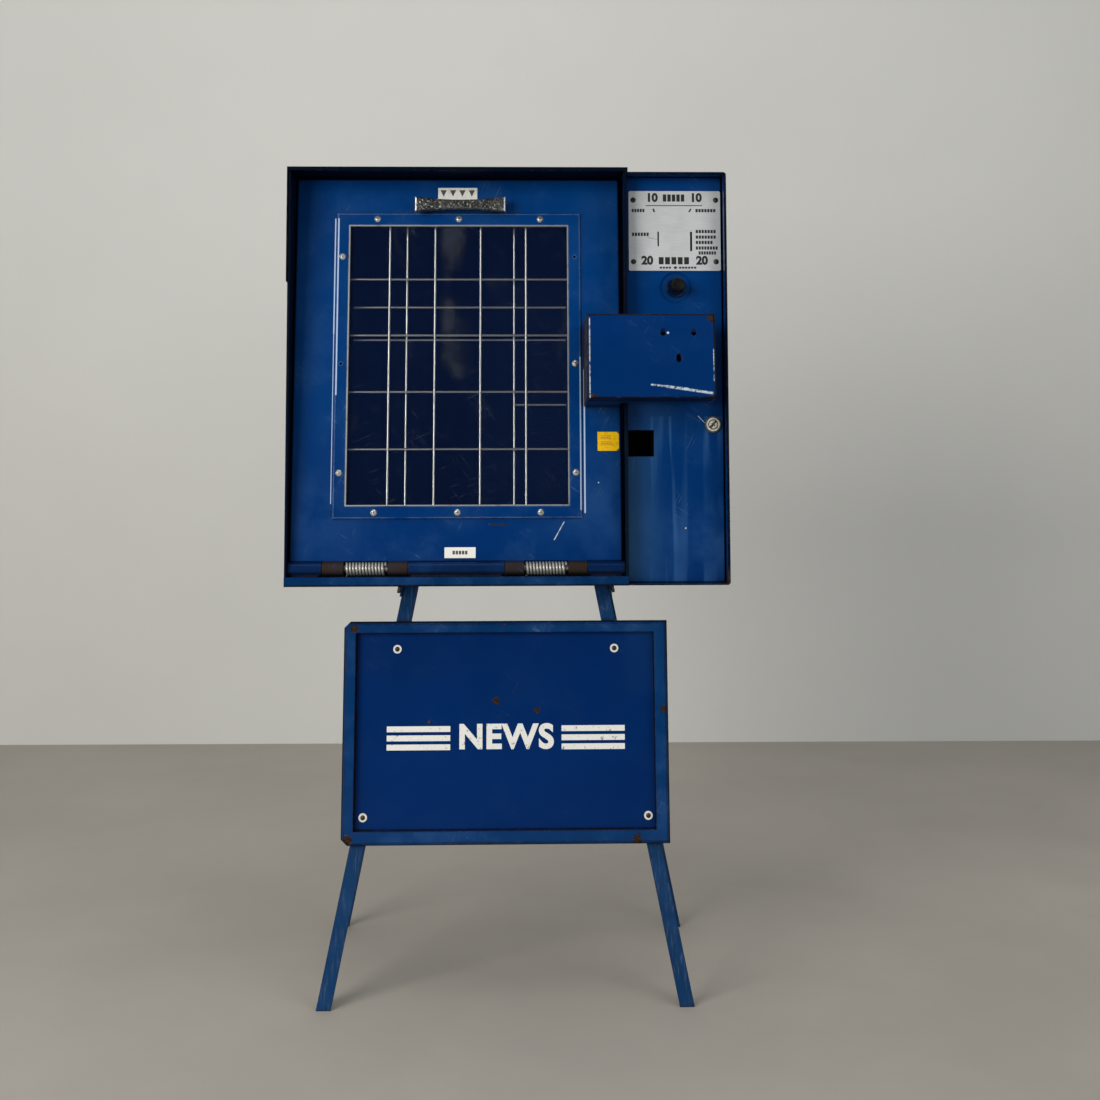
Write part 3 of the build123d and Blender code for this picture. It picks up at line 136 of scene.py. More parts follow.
# ---- building materials ----
class Finish:
    """One node material, put together step by step in the frame's own coordinates."""

    def __init__(self, name):
        self.material = bpy.data.materials.new(name)
        self.material.use_nodes = True
        self.tree = self.material.node_tree
        self.tree.nodes.clear()
        self.where = self.add("TexCoord").outputs["Object"]

    def feed(self, socket, value):
        if isinstance(value, bpy.types.NodeSocket):
            self.tree.links.new(value, socket)
        elif socket.type == "RGBA" and len(value) == 3:
            socket.default_value = tuple(value) + (1.0,)
        else:
            socket.default_value = value

    def add(self, kind, inputs=None, **settings):
        node = self.tree.nodes.new("ShaderNode" + kind)
        for key, value in settings.items():
            setattr(node, key, value)
        for key, value in (inputs or {}).items():
            self.feed(node.inputs[key], value)
        return node

    def maths(self, operation, first, second=0.0):
        return self.add("Math", {0: first, 1: second}, operation=operation).outputs[0]

    def times(self, *values):
        result = values[0]
        for value in values[1:]:
            result = self.maths("MULTIPLY", result, value)
        return result

    def most(self, *values):
        result = values[0]
        for value in values[1:]:
            result = self.maths("MAXIMUM", result, value)
        return result

    def opposite(self, value):
        return self.maths("SUBTRACT", 1.0, value)

    def vector(self, operation, first, second=(0.0, 0.0, 0.0), output="Vector"):
        return self.add("VectorMath", {0: first, 1: second}, operation=operation).outputs[output]

    def number(self, operation, first, second=(0.0, 0.0, 0.0)):
        return self.vector(operation, first, second, "Value")

    def stretched(self, scale, turn=(0.0, 0.0, 0.0)):
        """Coordinates turned first and scaled after, so that stretched patterns can run askew."""
        spans = tuple(1.0 / value for value in scale)
        inputs = {"Vector": self.where, "Scale": spans, "Rotation": turn}
        return self.add("Mapping", inputs, vector_type="TEXTURE").outputs[0]

    def noise(self, scale, detail=3.0, roughness=0.55, where=None, twist=0.0):
        inputs = {"Vector": where or self.where, "Scale": scale, "Detail": detail}
        inputs.update({"Roughness": roughness, "Distortion": twist})
        return self.add("TexNoise", inputs).outputs[0]

    def cells(self, scale, where=None, feature="F1"):
        inputs = {"Vector": where or self.where, "Scale": scale}
        return self.add("TexVoronoi", inputs, feature=feature).outputs["Distance"]

    def ramp(self, value, low, high):
        """0 at low and beyond, 1 at high and beyond, smooth between."""
        inputs = {"Value": value, "From Min": low, "From Max": high}
        node = self.add("MapRange", inputs, interpolation_type="SMOOTHSTEP")
        return node.outputs["Result"]

    def mix(self, share, first, second):
        node = self.add("Mix", {0: share, 6: first, 7: second}, data_type="RGBA")
        return node.outputs[2]

    def level(self, share, first, second):
        return self.add("Mix", {0: share, 2: first, 3: second}, data_type="FLOAT").outputs[0]

    def axis(self, index):
        return self.add("SeparateXYZ", {0: self.where}).outputs[index]

    def scratches(self, spread, fineness, lean):
        """Pattern of long fine hairs that lean by an angle in radians."""
        where = self.stretched((spread, spread, fineness), (0.0, lean, 0.0))
        return self.noise(1.0, 1.0, 0.4, where=where)

    def rounded(self, radius):
        return self.add("Bevel", {"Radius": radius}, samples=4).outputs["Normal"]

    def edges(self, rounded):
        """1 along sharp edges, from a rounded normal."""
        plain = self.add("NewGeometry").outputs["Normal"]
        return self.ramp(self.number("DOT_PRODUCT", rounded, plain), 0.995, 0.90)

    def creases(self, reach):
        """1 deep in corners."""
        open_sky = self.add("AmbientOcclusion", {"Distance": reach}, samples=4).outputs["AO"]
        return self.ramp(open_sky, 0.85, 0.35)

    def spot(self, centre, radius, soft=0.6):
        gap = self.number("DISTANCE", self.where, tuple(centre))
        return self.ramp(gap, radius, radius * (1.0 - soft))

    def streak(self, start, end, width):
        """1 along the straight line from start to end."""
        start = Vector(start)
        run = Vector(end) - start
        away = self.vector("SUBTRACT", self.where, tuple(start))
        along = self.number("DOT_PRODUCT", away, tuple(run / run.length_squared))
        share = self.add("Clamp", {"Value": along}).outputs[0]
        foot = self.add("VectorMath", {0: tuple(run), "Scale": share}, operation="SCALE")
        gap = self.number("DISTANCE", away, foot.outputs["Vector"])
        return self.ramp(gap, width, width * 0.35)

    def between(self, low, high, slope=0.0):
        """1 inside the box between two corners, where None is no limit.

        A slope leans the box's front and back, measured from z = 0.
        """
        inside = None
        for index in range(3):
            value = self.axis(index)
            if index == 1 and slope:
                value = self.maths("SUBTRACT", value, self.times(self.axis(2), slope))
            for limit, sign in ((low[index], "GREATER_THAN"), (high[index], "LESS_THAN")):
                if limit is not None:
                    test = self.maths(sign, value, limit)
                    inside = test if inside is None else self.times(inside, test)
        return inside

    def near_border(self, node, width):
        """1 within a width of the left, right, lower and upper limits of a CAD node's box."""
        nearest = None
        for index in (0, 2):
            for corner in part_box(node):
                gap = self.maths("ABSOLUTE", self.maths("SUBTRACT", self.axis(index), corner[index]))
                nearest = gap if nearest is None else self.maths("MINIMUM", nearest, gap)
        return self.ramp(nearest, width, width * 0.5)

    def bump(self, height, distance, normal=None, strength=1.0):
        inputs = {"Height": height, "Distance": distance, "Strength": strength}
        if normal is not None:
            inputs["Normal"] = normal
        return self.add("Bump", inputs).outputs["Normal"]

    def close(self, colour, roughness, metallic=0.0, normal=None, **more):
        inputs = {"Base Color": colour, "Roughness": roughness, "Metallic": metallic}
        if normal is not None:
            inputs["Normal"] = normal
        for key, value in more.items():
            inputs[key.replace("_", " ").title().replace("Ior", "IOR")] = value
        shader = self.add("BsdfPrincipled", inputs)
        self.add("OutputMaterial", {"Surface": shader.outputs[0]})
        return self.material


# ---- places on the CAD nodes ----
def part_way(node, x, y, z):
    """A point given as shares of a CAD node's box."""
    low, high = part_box(node)
    shares = (x, y, z)
    return tuple(low[i] + (high[i] - low[i]) * shares[i] for i in range(3))


def front_plane(name):
    """Centre and outward normal of the largest flat area of a node that faces the viewer."""
    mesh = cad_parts[name].data
    areas = {}
    for face in mesh.polygons:
        if face.normal.y < -0.5:
            key = (round(face.normal.z, 2), round(face.normal.dot(face.center), 4))
            total, normal, centre = areas.get(key, (0.0, Vector(), Vector()))
            normal = normal + face.normal * face.area
            centre = centre + face.center * face.area
            areas[key] = (total + face.area, normal, centre)
    total, normal, centre = max(areas.values(), key=lambda item: item[0])
    return centre / total, normal.normalized()


def on_plane(name, x, z):
    """The point at x and z on the plane of a node's front."""
    plane, facing = front_plane(name)
    depth = facing.dot(plane - Vector((x, 0.0, z))) / facing.y
    return (x, depth, z)


def on_face(face_node, box_node, across, up):
    """A point on the plane of one node's front, placed by shares of another node's box."""
    x, z = part_way(box_node, across, 0.0, up)[::2]
    return on_plane(face_node, x, z)


def face_lines(face_node, box_node, rows):
    """Straight marks on a node's front. A row is start and end in shares of a box, and width in mm."""
    made = []
    for start, end, width in rows:
        places = (on_face(face_node, box_node, *start), on_face(face_node, box_node, *end))
        made.append((*places, width * MM))
    return made


def haze_and_sheen_places(node, *rows):
    """Cloudy places on the front of a node's box, used for haze on the door and for painted reflections
    on the coin panel: place in shares, radius in mm and strength.
    """
    return [(part_way(node, x, 0.0, z), radius * MM, share) for (x, z), radius, share in rows]


def box_spots(node, rows):
    """Spots round places in a node's box. A row is the place in shares and the radius in mm."""
    return [(part_way(node, *place), radius * MM) for place, radius in rows]


def face_limits(name):
    """Least and greatest x and z of the flat front of a node."""
    plane, facing = front_plane(name)
    level = facing.dot(plane)
    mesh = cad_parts[name].data
    points = []
    for face in mesh.polygons:
        if face.normal.dot(facing) > 0.999 and abs(facing.dot(face.center) - level) < 0.3 * MM:
            points.extend(mesh.vertices[i].co for i in face.vertices)
    return (
        min(p.x for p in points), max(p.x for p in points),
        min(p.z for p in points), max(p.z for p in points),
    )


def border_lines(name, width, out=0.0):
    """Four lines round the flat front of a node, moved outward by a distance."""
    x0, x1, z0, z1 = face_limits(name)
    low, high = (x0 - out, z0 - out), (x1 + out, z1 + out)
    round_it = (low, (high[0], low[1]), high, (low[0], high[1]))
    corners = [on_plane(name, x, z) for x, z in round_it]
    return [(corners[i], corners[(i + 1) % 4], width) for i in range(4)]


# ---- painted steel ----
ENAMEL = {
    "haze": 0.25,         # share of chalky film
    "haze_spots": (),     # cloudy places of chalky haze, which on the coin panel are painted reflections: centre, radius, share
    "low_dark": None,     # painted shade low down: height of full dark, height of none, share
    "brushed": 0.0,       # share of streaks rubbed along the height
    "smears": None,       # upright painted reflections of light bands: region, share
    "hairs": 0.30,        # share of hairline scratches
    "grime": 0.85,        # share of dirt colour in corners, which is painted shade there as well
    "edge_width": 1.8,    # width of the worn edges, mm
    "dark_edges": 0.80,   # share of dark along the edges
    "pale_edges": 0.0,    # share of painted highlight along the edges
    "stained": None,      # one region laid in one colour, painted shade on hems and behind the latch cover, primer on its side: region, colour, share
    "chips": 0.35,        # how much of the edges is chipped
    "rust_spots": (),     # ragged bare places: centre, radius
    "dark_streaks": (),   # ragged bare scores: start, end, width
    "outline": None,      # dark border inside a node's box: node, width
    "dark_lines": (),     # dark lines: start, end, width
    "dark_spots": (),     # painted shade in holes, with dark chipped rims: centre, radius
    "pale_streaks": (),   # pale scratches, and on the latch cover painted highlights along its bends: start, end, width
    "pale_spots": (),     # pale dots: centre, radius
    "glints": (),         # painted highlights along pressed edges: start, end, width
    "inside": None,       # painted shade of an unlit space: low corner, high corner, and a slope if it leans
    "rough": 0.22,        # least roughness
    "gloss": 0.17,        # weight of the clear coat
    "shine": 0.05,        # roughness of the clear coat
    "wave": 0.0016,       # height of the broad waves, metres
    "ripple": 0.0,        # height of the upright ripples, metres
}


class Enamel(Finish):
    """The patterns that the layers of the enamel share, and the colour laid on so far."""

    def __init__(self, name, base, settings):
        super().__init__(name)
        self.wear = SimpleNamespace(**{**ENAMEL, **settings})
        self.colour = base
        self.soft_normal = self.rounded(self.wear.edge_width * MM)
        self.edge = self.edges(self.soft_normal)
        self.grain = self.noise(310.0, 4.0, 0.7)
        self.patch = self.noise(17.0, 5.0, 0.62)
        self.ragged = self.noise(150.0, 5.0, 0.72)

    def cover(self, share, colour):
        """Lay a colour over what is there, by a share from 0 to 1."""
        self.colour = self.mix(share, self.colour, colour)

    def ragged_line(self, line, low, high):
        """A straight mark, given as start, end and width, broken up by the ragged pattern."""
        return self.times(self.streak(*line), self.ramp(self.ragged, low, high))


def lay_paint(f):
    """Uneven paint, darker low down as painted shade, under a chalky film that also carries the coin
    panel's painted reflections.
    """
    wear = f.wear
    broad = f.noise(4.2, 3.0, 0.5, twist=0.6)
    f.cover(f.ramp(broad, 0.32, 0.70), darker(f.colour, 0.86))
    # Painted shade towards the bottom.
    if wear.low_dark is not None:
        bottom, top, share = wear.low_dark
        f.cover(f.times(f.ramp(f.axis(2), top, bottom), share), BLUE_LOW_SHADE)
    film = f.times(f.ramp(f.patch, 0.42, 0.72), wear.haze)
    # On the coin panel the cloudy places are painted reflections.
    for centre, radius, share in wear.haze_spots:
        cloud = f.times(f.spot(centre, radius, 0.95), f.ramp(f.patch, 0.25, 0.6), share)
        film = f.most(film, cloud)
    f.cover(film, BLUE_CHALK_AND_SHEEN)


def rub(f):
    """Streaks rubbed along the height, upright painted reflections of light bands and crossing hairline
    scratches.
    """
    wear = f.wear
    if wear.brushed:
        streaks = f.noise(1.0, 3.0, 0.6, where=f.stretched((520.0, 520.0, 9.0)))
        f.cover(f.times(f.ramp(streaks, 0.52, 0.72), wear.brushed), RUBBED)
    # Painted reflections of upright light bands.
    if wear.smears is not None:
        region, share = wear.smears
        tall_noise = f.noise(1.0, 2.0, 0.5, where=f.stretched((52.0, 52.0, 2.6)), twist=0.4)
        broken = f.ramp(f.noise(9.0, 2.0, 0.5), 0.35, 0.62)
        reflected_band = f.times(f.ramp(tall_noise, 0.47, 0.63), broken)
        f.cover(f.times(reflected_band, f.between(*region), share), REFLECTION_BLUE)
    rising = f.ramp(f.scratches(34.0, 900.0, 0.62), 0.70, 0.76)
    falling = f.ramp(f.scratches(26.0, 1100.0, -1.1), 0.71, 0.77)
    hair = f.times(f.most(rising, falling), f.ramp(f.patch, 0.50, 0.72))
    f.cover(f.times(hair, wear.hairs), PALE_CHIP)


def soil_and_shade(f):
    """Dirt colour in corners that is painted shade as well, dark edges, painted highlights along edges,
    and one region in one colour: painted shade on hems and behind the latch cover, primer on the cover's
    side.
    """
    wear = f.wear
    # Dirt colour laid by ambient occlusion: painted shade in corners as well as dirt.
    dirt = f.times(f.creases(9.0 * MM), f.ramp(f.patch, 0.12, 0.50), wear.grime)
    f.cover(dirt, DIRT_AND_SHADE)
    worn = f.ramp(f.patch, 0.20, 0.50)
    f.cover(f.times(f.edge, worn, wear.dark_edges), EDGE_DARK)
    # Painted highlights along edges.
    if wear.pale_edges:
        rubbed = f.ramp(f.patch, 0.30, 0.55)
        f.cover(f.times(f.edge, rubbed, wear.pale_edges), EDGE_HIGHLIGHT)
    # One region in one colour: painted shade on hems and behind the latch cover, primer on the cover's
    # side.
    if wear.stained is not None:
        region, region_colour, share = wear.stained
        tinted_share = f.times(f.between(*region), f.ramp(f.grain, 0.05, 0.40), share)
        f.cover(tinted_share, region_colour)


def lay_bare(f):
    """Chipped edges, specks, rust spots and scores. Gives back the share of bare steel."""
    chips = f.wear.chips
    flaking = f.ramp(f.noise(95.0, 5.0, 0.68), 0.74 - 0.30 * chips, 0.79 - 0.30 * chips)
    specks = f.ramp(f.noise(210.0, 2.0, 0.5), 0.765, 0.785)
    specks = f.times(specks, f.ramp(f.patch, 0.48, 0.60), min(1.0, chips * 2))
    bare = f.most(f.times(f.edge, flaking), specks)
    torn = f.times(f.ramp(f.ragged, 0.30, 0.68), 0.80)
    for centre, radius in f.wear.rust_spots:
        reach = f.spot(centre, radius, 0.9)
        bare = f.most(bare, f.ramp(f.maths("ADD", reach, torn), 0.92, 1.00))
    for line in f.wear.dark_streaks:
        bare = f.most(bare, f.ragged_line(line, 0.38, 0.52))
    rusty = f.mix(f.ramp(f.grain, 0.35, 0.66), RUST_DARK, RUST)
    rusty = f.mix(f.ramp(f.patch, 0.58, 0.70), rusty, PRIMER)
    pits = f.ramp(f.noise(260.0, 4.0, 0.7), 0.58, 0.68)
    rusty = f.mix(f.times(pits, 0.7), rusty, RUST_PALE)
    f.cover(bare, rusty)
    return bare


def mark(f):
    """Dark outline and lines (on the card a painted shadow), painted shade in holes, then pale scratches
    and painted highlights.
    """
    wear = f.wear
    if wear.outline is not None:
        rim = f.times(f.near_border(*wear.outline), f.ramp(f.ragged, 0.25, 0.45), 0.9)
        f.cover(rim, LINE_DARK)
    for line in wear.dark_lines:
        f.cover(f.times(f.ragged_line(line, 0.30, 0.50), 0.92), LINE_DARK)
    # Painted shade in holes.
    for centre, radius in wear.dark_spots:
        f.cover(f.spot(centre, radius, 0.35), SHADE_BLACK)
    pale = [f.ragged_line(line, 0.36, 0.56) for line in wear.pale_streaks]
    pale += [f.spot(centre, radius, 0.3) for centre, radius in wear.pale_spots]
    if pale:
        f.cover(f.most(*pale), PALE_CHIP)
    # Painted highlights.
    for line in wear.glints:
        f.cover(f.times(f.streak(*line), f.ramp(f.patch, 0.20, 0.42)), GLINT)


def relief(f, bare):
    """One normal for rounded edges, waves, fine grain and sunken bare places."""
    wear = f.wear
    normal = f.bump(f.noise(5.5, 1.0, 0.4), wear.wave * 2.2, f.soft_normal, 0.8)
    normal = f.bump(f.noise(23.0, 1.0, 0.4), wear.wave * 0.22, normal, 0.8)
    normal = f.bump(f.noise(620.0, 2.0, 0.5), 0.02 * MM, normal, 0.7)
    if wear.ripple:
        upright = f.noise(1.0, 1.0, 0.4, where=f.stretched((20.0, 20.0, 3.0)))
        normal = f.bump(upright, wear.ripple, normal)
    sunk = f.maths("ADD", f.times(bare, -1.0), f.times(bare, f.grain, 0.8))
    return f.bump(sunk, 0.12 * MM, normal)


def enamel(name, base=BLUE, **settings):
    """Glossy enamel with haze, scratches, dirt colour in corners that is painted shade as well, chips and
    rust, and painted shade and highlights where the settings ask. ENAMEL lists the settings.
    """
    f = Enamel(name, base, settings)
    wear = f.wear
    lay_paint(f)
    rub(f)
    soil_and_shade(f)
    bare = lay_bare(f)
    mark(f)
    roughness = f.level(f.ramp(f.patch, 0.30, 0.75), wear.rough, wear.rough + 0.16)
    # Painted shade: an unlit space is laid dark blue, near black close to its front.
    if wear.inside is not None:
        hidden = f.between(*wear.inside)
        front = wear.inside[0][1]
        mouth = f.ramp(f.axis(1), front + 70 * MM, front + 20 * MM)
        f.cover(f.times(hidden, 0.93), f.mix(mouth, INSIDE_SHADE, HEM_SHADE))
        roughness = f.level(hidden, roughness, 0.62)
    roughness = f.level(bare, roughness, 0.85)
    coat = f.times(f.opposite(bare), wear.gloss)
    return f.close(
        f.colour, roughness, 0.0, relief(f, bare),
        coat_weight=coat, coat_roughness=wear.shine, specular_ior_level=0.04,
    )


# ---- other materials ----
def metal(name, base, rough=0.3, dull=0.3, dull_colour=RUST_DARK, grain_size=260.0, grain=0.03,
          solid=1.0, grime=0.55):
    """Bare or plated metal with dull patches and fine grain. Solid is how metallic it shines."""
    f = Finish(name)
    rounded = f.rounded(0.4 * MM)
    patch = f.noise(44.0, 5.0, 0.65)
    fine = f.noise(1.0, 3.0, 0.6, where=f.stretched((grain_size,) * 3))
    worn = f.times(f.ramp(patch, 0.50, 0.74), dull)
    shade = f.mix(f.ramp(fine, 0.3, 0.7), base, darker(base, 0.80))
    colour = f.mix(worn, shade, dull_colour)
    # Dirt colour laid by ambient occlusion: painted shade in creases as well as dirt.
    if grime:
        colour = f.mix(f.times(f.creases(3.0 * MM), grime), colour, DIRT_AND_SHADE)
    roughness = f.level(f.ramp(fine, 0.25, 0.75), rough, rough + 0.12)
    roughness = f.level(worn, roughness, 0.75)
    normal = f.bump(fine, grain * MM, rounded)
    return f.close(colour, roughness, f.level(worn, solid, solid * 0.35), normal)


def half_width(node):
    low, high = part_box(node)
    return (high.x - low.x) / 2


def cast_pewter():
    """Dark hammered casting of the handle, with painted highlights on its high edges, its ends and in
    bright specks.
    """
    f = Finish("cast_pewter")
    rounded = f.rounded(1.5 * MM)
    edge = f.edges(rounded)
    hammered = f.cells(330.0, feature="SMOOTH_F1")
    patch = f.noise(90.0, 4.0, 0.65)
    fine = f.noise(900.0, 3.0, 0.6)
    colour = f.mix(f.ramp(patch, 0.38, 0.60), PEWTER, PEWTER_DARK)
    # Painted glints in bright specks.
    flecks = f.ramp(f.noise(300.0, 4.0, 0.70), 0.54, 0.64)
    colour = f.mix(f.times(flecks, 0.85), colour, PEWTER_GLINT)
    # Painted highlights along the high edges and the ends.
    colour = f.mix(f.times(edge, f.ramp(patch, 0.20, 0.50), 0.95), colour, HIGHLIGHT_WHITE)
    for across in (0.012, 0.988):
        low = on_face("pull_handle", "pull_handle", across, 0.05)
        high = on_face("pull_handle", "pull_handle", across, 0.95)
        colour = f.mix(f.times(f.streak(low, high, 1.5 * MM), 0.9), colour, HIGHLIGHT_WHITE)
    # Dirt colour laid by ambient occlusion: painted shade in creases as well as dirt.
    colour = f.mix(f.times(f.creases(5.0 * MM), 0.7), colour, DIRT_AND_SHADE)
    normal = f.bump(hammered, 0.75 * MM, rounded)
    normal = f.bump(fine, 0.02 * MM, normal)
    roughness = f.level(f.ramp(patch, 0.3, 0.7), 0.26, 0.42)
    return f.close(colour, roughness, 0.55, normal)


def lock_face():
    """Nickel lock seen from the front: dark rings round a bright face, worn dull in patches, with a
    slanted key slot. The face's brightness is painted sheen; the gap round the plug, the key slot and its
    nick are painted shade.
    """
    f = Finish("lock_face")
    centre = Vector(part_way("lock_plug", 0.5, 0.0, 0.5))
    away = f.vector("MULTIPLY", f.vector("SUBTRACT", f.where, tuple(centre)), (1.0, 0.0, 1.0))
    reach = f.number("LENGTH", away)
    patch = f.noise(330.0, 4.0, 0.7)
    fine = f.noise(1100.0, 3.0, 0.6)
    plug_radius = half_width("lock_plug")
    rim_radius = half_width("lock_housing")
    colour = f.mix(f.ramp(patch, 0.40, 0.66), LOCK_SHEEN, LOCK_WORN)
    # Painted shade in the gap round the plug, the key slot and its nick.
    gap = f.ramp(f.maths("ABSOLUTE", f.maths("SUBTRACT", reach, plug_radius)), 1.0 * MM, 0.4 * MM)
    rim = f.ramp(reach, rim_radius - 2.6 * MM, rim_radius - 1.6 * MM)
    slot_ends = (centre + Vector((-3.4, 0.0, -3.4)) * MM, centre + Vector((3.4, 0.0, 3.8)) * MM)
    nick_ends = (centre + Vector((-1.6, 0.0, 1.4)) * MM, centre + Vector((1.8, 0.0, -1.8)) * MM)
    slot = f.streak(*slot_ends, 2.2 * MM)
    nick = f.streak(*nick_ends, 1.2 * MM)
    dark = f.most(f.times(gap, 0.95), f.times(rim, 0.90), slot, nick)
    colour = f.mix(dark, colour, SHADE_BLACK)
    rough = f.level(dark, 0.30, 0.70)
    normal = f.bump(f.most(patch, f.opposite(dark)), 0.15 * MM, f.rounded(0.5 * MM))
    normal = f.bump(fine, 0.02 * MM, normal)
    return f.close(colour, rough, f.times(f.opposite(dark), 0.25), normal)


def brushed_plate():
    """Brushed aluminium with dull fingerprints and one dark scuff."""
    f = Finish("brushed_plate")
    lines = f.noise(1.0, 4.0, 0.7, where=f.stretched((60.0, 60.0, 4200.0)))
    patch = f.noise(38.0, 4.0, 0.6)
    colour = f.mix(f.ramp(lines, 0.30, 0.72), BRUSHED, darker(BRUSHED, 0.78))
    colour = f.mix(f.times(f.ramp(patch, 0.55, 0.75), 0.22), colour, PAPER_DIRT)
    scuff_from = part_way("price_plate", 0.20, 0.0, 0.42)
    scuff_to = part_way("price_plate", 0.31, 0.0, 0.39)
    scuff = f.times(f.streak(scuff_from, scuff_to, 0.45 * MM), 0.6)
    colour = f.mix(scuff, colour, INK)
    normal = f.bump(lines, 0.012 * MM, f.rounded(0.3 * MM))
    roughness = f.level(f.ramp(patch, 0.35, 0.70), 0.34, 0.48)
    return f.close(colour, roughness, 0.35, normal)


def clear_sheet():
    """Old clear plastic sheet: hazed, scratched and dusty, with a pale patch under its upper edge."""
    f = Finish("clear_sheet")
    patch = f.noise(9.0, 5.0, 0.62, twist=0.8)
    fine = f.noise(60.0, 4.0, 0.7)
    down = f.noise(1.0, 3.0, 0.55, where=f.stretched((26.0, 1.0, 2.2)))
    rising = f.ramp(f.scratches(26.0, 1500.0, 0.9), 0.70, 0.75)
    falling = f.ramp(f.scratches(34.0, 1300.0, -0.4), 0.71, 0.76)
    hair = f.most(rising, falling)
    cloud = f.times(f.ramp(patch, 0.42, 0.78), f.ramp(down, 0.36, 0.66), 0.075)
    dust = f.times(f.ramp(fine, 0.60, 0.74), 0.050)
    scratch = f.times(hair, f.ramp(patch, 0.40, 0.66), 0.22)
    pane = "window_pane"
    column = f.streak(part_way(pane, 0.47, 0.5, 1.05), part_way(pane, 0.50, 0.5, 0.50), 34 * MM)
    glow = f.times(column, f.ramp(down, 0.30, 0.62), f.ramp(patch, 0.30, 0.65), 0.085)
    pattern = f.most(cloud, dust, scratch, glow)
    film = f.most(pattern, 0.038)
    shade = f.mix(f.ramp(pattern, 0.015, 0.060), HAZE_BLUE, HAZE_PALE)
    clear = f.add("BsdfTransparent", {"Color": CLEAR})
    milky = f.add("BsdfDiffuse", {"Color": shade})
    normal = f.bump(f.noise(6.0, 1.0, 0.4), 2.0 * MM)
    shine = {"Color": (1.0, 1.0, 1.0), "Roughness": 0.05, "Normal": normal}
    gloss = f.add("BsdfGlossy", shine)
    hazed = f.add("MixShader", {0: film, 1: clear.outputs[0], 2: milky.outputs[0]})
    mirror = f.add("Fresnel", {"IOR": 1.45, "Normal": normal})
    layers = {0: mirror.outputs[0], 1: hazed.outputs[0], 2: gloss.outputs[0]}
    both = f.add("MixShader", layers)
    f.add("OutputMaterial", {"Surface": both.outputs[0]})
    return f.material


def black_plastic():
    """Moulded button with a fine pebbled grain and rubbed edges."""
    f = Finish("black_plastic")
    rounded = f.rounded(0.4 * MM)
    fine = f.noise(700.0, 3.0, 0.6)
    patch = f.noise(80.0, 3.0, 0.6)
    colour = f.mix(f.ramp(patch, 0.4, 0.7), PLASTIC_BLACK, PLASTIC_WORN)
    colour = f.mix(f.times(f.edges(rounded), 0.5), colour, PLASTIC_EDGE)
    normal = f.bump(fine, 0.04 * MM, rounded)
    normal = f.bump(f.cells(700.0), 0.25 * MM, normal)
    dull = f.level(f.ramp(patch, 0.3, 0.7), 0.32, 0.5)
    return f.close(colour, dull, 0.0, normal, specular_ior_level=0.10)


def unlit_black(name):
    """Painted shade: an unlit inner surface laid near black, so it reads as a black hole."""
    f = Finish(name)
    fine = f.noise(120.0, 4.0, 0.6)
    colour = f.mix(f.ramp(fine, 0.4, 0.7), HOLE_DARK, HOLE_PALE)
    return f.close(colour, 0.9, 0.0, f.bump(fine, 0.05 * MM), specular_ior_level=0.1)


def paper(name, base, wear, wear_colour, scale=120.0, rough=0.55, worn_at=()):
    """A printed label or sticker, rubbed and with stains."""
    f = Finish(name)
    patch = f.noise(scale, 5.0, 0.68)
    fine = f.noise(900.0, 2.0, 0.5)
    colour = f.mix(f.ramp(fine, 0.3, 0.7), base, darker(base, 0.93))
    tinted_share = f.times(f.ramp(patch, 0.46, 0.70), wear)
    for centre, radius in worn_at:
        reach = f.spot(centre, radius, 0.8)
        tinted_share = f.most(tinted_share, f.ramp(f.maths("ADD", reach, f.times(patch, 0.8)), 0.95, 1.10))
    colour = f.mix(tinted_share, colour, wear_colour)
    normal = f.bump(patch, 0.05 * MM, f.rounded(0.2 * MM))
    return f.close(colour, f.level(tinted_share, rough, 0.8), 0.0, normal, specular_ior_level=0.15)


def ink(name, base, missing=0.0, under=BLUE_CARD):
    """Printed marks, rubbed thin in places."""
    f = Finish(name)
    patch = f.noise(160.0, 5.0, 0.7)
    fine = f.noise(1400.0, 2.0, 0.5)
    colour = f.mix(f.ramp(fine, 0.35, 0.7), base, darker(base, 0.88))
    gone = f.times(f.ramp(patch, 0.60, 0.66), missing)
    colour = f.mix(gone, colour, under)
    return f.close(colour, f.level(f.ramp(patch, 0.3, 0.7), 0.42, 0.6), 0.0, f.bump(fine, 0.01 * MM))


# ---- choosing the finish of every CAD node ----
def by_node(*groups):
    """The finish of each node, from finishes with the nodes that wear them."""
    return {node: finish for finish, nodes in groups for node in nodes}


def cabinet_inside():
    """The space between the side panel, the divider and the back, behind the front edges."""
    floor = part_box("floor_panel")
    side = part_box("left_side_panel")
    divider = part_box("divider_panel")
    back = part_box("back_panel")
    return (
        (side[0].x + 1.0 * MM, floor[0].y + 2.0 * MM, floor[1].z + 0.5 * MM),
        (divider[1].x - 0.8 * MM, back[1].y - 0.8 * MM, side[1].z + 30.0 * MM),
    )


def front_hem(node, depth, above=None):
    """The region down to a depth in mm behind a node's foremost edge, and above a height."""
    return ((None, None, above), (None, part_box(node)[0].y + depth * MM, None))


def behind_cover():
    """The part of the door and coin panel that the latch cover hides."""
    low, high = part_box("latch_cover")
    edge = 5.0 * MM
    return ((low.x + edge, None, low.z + edge), (high.x - edge, None, high.z - 3 * edge))


